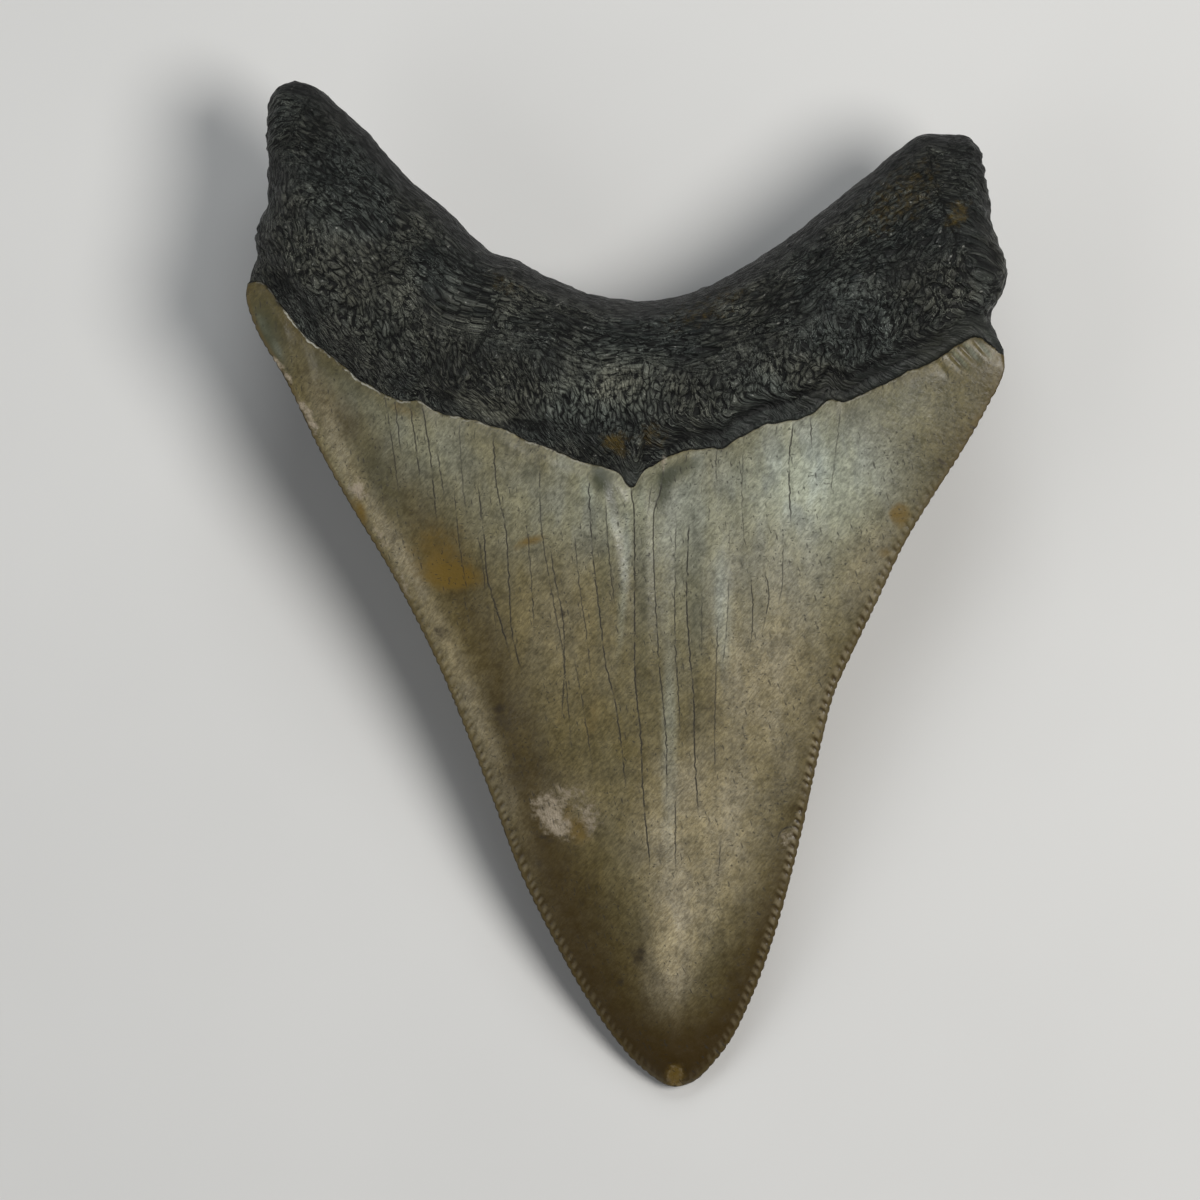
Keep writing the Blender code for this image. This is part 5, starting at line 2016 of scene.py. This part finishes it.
    def build(self) -> bpy.types.Object:
        """Builds the tooth's mesh, with its relief and stored values.

        Returns:
            The object, not yet dressed.
        """
        upper, lower = self.skin(Face.LABIAL), self.skin(Face.LINGUAL)
        count = len(self.outline.loop())
        shift = len(upper.points) - count
        under = np.where(lower.triangles < count, lower.triangles, lower.triangles + shift)[:, ::-1]
        triangles = np.vstack([upper.triangles, under])
        flat = np.vstack([upper.points, lower.points[count:]])
        height = np.concatenate([upper.height, lower.height[count:]])
        points = np.column_stack([flat, height])
        mesh = bpy.data.meshes.new("tooth_skin")
        mesh.from_pydata((points * MM).tolist(), [], triangles.tolist())
        relief = np.concatenate([upper.relief, lower.relief[count:]])
        normals = np.empty(3 * len(points), np.float32)
        mesh.vertex_normals.foreach_get("vector", normals)
        points = points + normals.reshape(-1, 3) * relief[:, None]
        points[:, 2] = np.maximum(points[:, 2], 0.0)
        mesh.vertices.foreach_set("co", (points * MM).astype(np.float32).ravel())
        for mask in Mask:
            stored = mesh.attributes.new(mask.value, "FLOAT", "POINT")
            values = np.concatenate([upper.masks[mask], lower.masks[mask][count:]])
            stored.data.foreach_set("value", values.astype(np.float32))
        for i, name in enumerate(("flow", "fall")):
            field = mesh.attributes.new(name, "FLOAT_VECTOR", "POINT")
            joined = np.vstack([upper.fields[i], lower.fields[i][count:]])
            field.data.foreach_set("vector", joined.astype(np.float32).ravel())
        mesh.update()
        mesh.shade_smooth()
        self.sort_tissues(mesh, flat, triangles, len(upper.triangles))
        tooth = bpy.data.objects.new("tooth_skin", mesh)
        bpy.context.scene.collection.objects.link(tooth)
        return tooth

    def sort_tissues(self, mesh: bpy.types.Mesh, flat: Array, triangles: Array, upper: int) -> None:
        """Gives each triangle its tissue's material index.

        Args:
            mesh: The tooth's mesh.
            flat: Its points seen from above.
            triangles: Its triangles.
            upper: How many of the triangles are on the labial face.
        """
        x, y = flat[triangles].mean(axis=1).T
        labial = np.arange(len(triangles)) < upper
        root = np.where(labial, self.junction.labial.over(x, y), self.junction.neck_top.over(x, y)) > 0.0
        neck = ~labial & ~root & (self.junction.neck_bottom.over(x, y) > 0.0)
        index = np.where(root, Tissue.ROOT.value, np.where(neck, Tissue.NECK.value, Tissue.ENAMEL.value))
        mesh.polygons.foreach_set("material_index", index.astype(np.int32))

    def dress(self, tooth: bpy.types.Object, finishes: dict[Tissue, Material]) -> None:
        """Gives the tooth its materials in the tissues' order."""
        for tissue in Tissue:
            tooth.data.materials.append(finishes[tissue])


@dataclass(frozen=True)
class Studio:
    """A pale floor, soft lights and a camera straight above, with the photograph's framing."""

    middle: tuple[float, float] = (-2.75, -1.4)
    frame_width: float = 120.0
    plane_z: float = 12.0
    lens: float = 500.0
    sensor: float = 36.0
    clip_end: float = 20.0
    floor_half: float = 4.0
    floor_drop: float = 0.02
    floor_roughness: float = 0.9
    floor_colour: Colour = (0.62, 0.62, 0.61)
    sky: Colour = (0.92, 0.95, 1.0)
    sky_strength: float = 0.1
    lights: tuple[tuple[str, tuple[float, float, float], float, float, Colour], ...] = (
        ("key_light", (0.28, 0.02, 0.50), 0.28, 2.6, (1.0, 0.975, 0.94)),
        ("top_light", (0.02, 0.46, 0.42), 0.34, 1.3, (0.95, 0.98, 1.0)),
        ("fill_light", (-0.5, -0.1, 0.36), 0.5, 0.9, (0.98, 0.99, 1.0)),
    )

    def camera(self) -> None:
        """Places the camera so that the frame's width is the photograph's at the tooth's height."""
        data = bpy.data.cameras.new("camera")
        data.lens, data.sensor_width, data.clip_end = self.lens, self.sensor, self.clip_end
        camera = bpy.data.objects.new("camera", data)
        distance = self.frame_width * self.lens / self.sensor
        camera.location = Vector((*self.middle, self.plane_z + distance)) * MM
        bpy.context.scene.collection.objects.link(camera)
        bpy.context.scene.camera = camera

    def floor(self) -> None:
        """Lays the floor just under the tooth, as part of the stage."""
        half, low = self.floor_half, -self.floor_drop * MM
        mesh = bpy.data.meshes.new("floor")
        corners = [(-half, -half, low), (half, -half, low), (half, half, low), (-half, half, low)]
        mesh.from_pydata(corners, [], [(0, 1, 2, 3)])
        material, graph, shader = Finish.begin("floor_paper")
        fine = graph.noise(graph.millimetres(), 0.02, 3.0)
        tone = graph.spread(fine, 0.3, 0.7, 0.97, 1.0)
        colour = graph.mix(1.0, self.floor_colour, graph.grey(tone), "MULTIPLY")
        graph.feed(shader.inputs["Base Color"], colour)
        shader.inputs["Roughness"].default_value = self.floor_roughness
        mesh.materials.append(material)
        floor = bpy.data.objects.new("floor", mesh)
        bpy.context.scene.collection.objects.link(floor)
        floor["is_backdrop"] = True

    def light(self) -> None:
        """Hangs the soft lights, aimed at the tooth, and sets the sky."""
        for name, where, size, power, colour in self.lights:
            data = bpy.data.lights.new(name, "AREA")
            data.shape, data.size, data.energy, data.color = "DISK", size, power, colour
            lamp = bpy.data.objects.new(name, data)
            lamp.location = where
            lamp.rotation_euler = (-Vector(where)).to_track_quat("-Z", "Y").to_euler()
            bpy.context.scene.collection.objects.link(lamp)
        world = bpy.data.worlds.new("sky")
        world.use_nodes = True
        back = world.node_tree.nodes["Background"]
        back.inputs["Color"].default_value = (*self.sky, 1.0)
        back.inputs["Strength"].default_value = self.sky_strength
        bpy.context.scene.world = world
        bpy.context.scene.view_settings.view_transform = "Standard"


def main() -> None:
    """Builds and dresses the tooth and its stage."""
    logging.basicConfig(level=logging.INFO, format="%(name)s: %(message)s")
    effects = Effects()
    finishes = {
        Tissue.ROOT: RootFinish().material(effects),
        Tissue.ENAMEL: EnamelFinish().material(effects),
        Tissue.NECK: NeckFinish().material(effects),
    }
    tooth = Tooth(Outline(), Crown(), Root(), Junction(), Weathering())
    skin = tooth.build()
    tooth.dress(skin, finishes)
    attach(skin, "root")
    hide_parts("tooth")
    LOG.info("%s: %d triangles", skin.name, len(skin.data.polygons))
    studio = Studio()
    studio.floor()
    studio.light()
    studio.camera()
    LOG.info("stage: floor, %d lights and camera", len(studio.lights))
    boxes = {"cad": CAD_BOX, "visual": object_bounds()}
    plain = {name: [list(corner) for corner in box] for name, box in boxes.items()}
    LOG.info("boxes written")


if __name__ == "__main__":
    main()
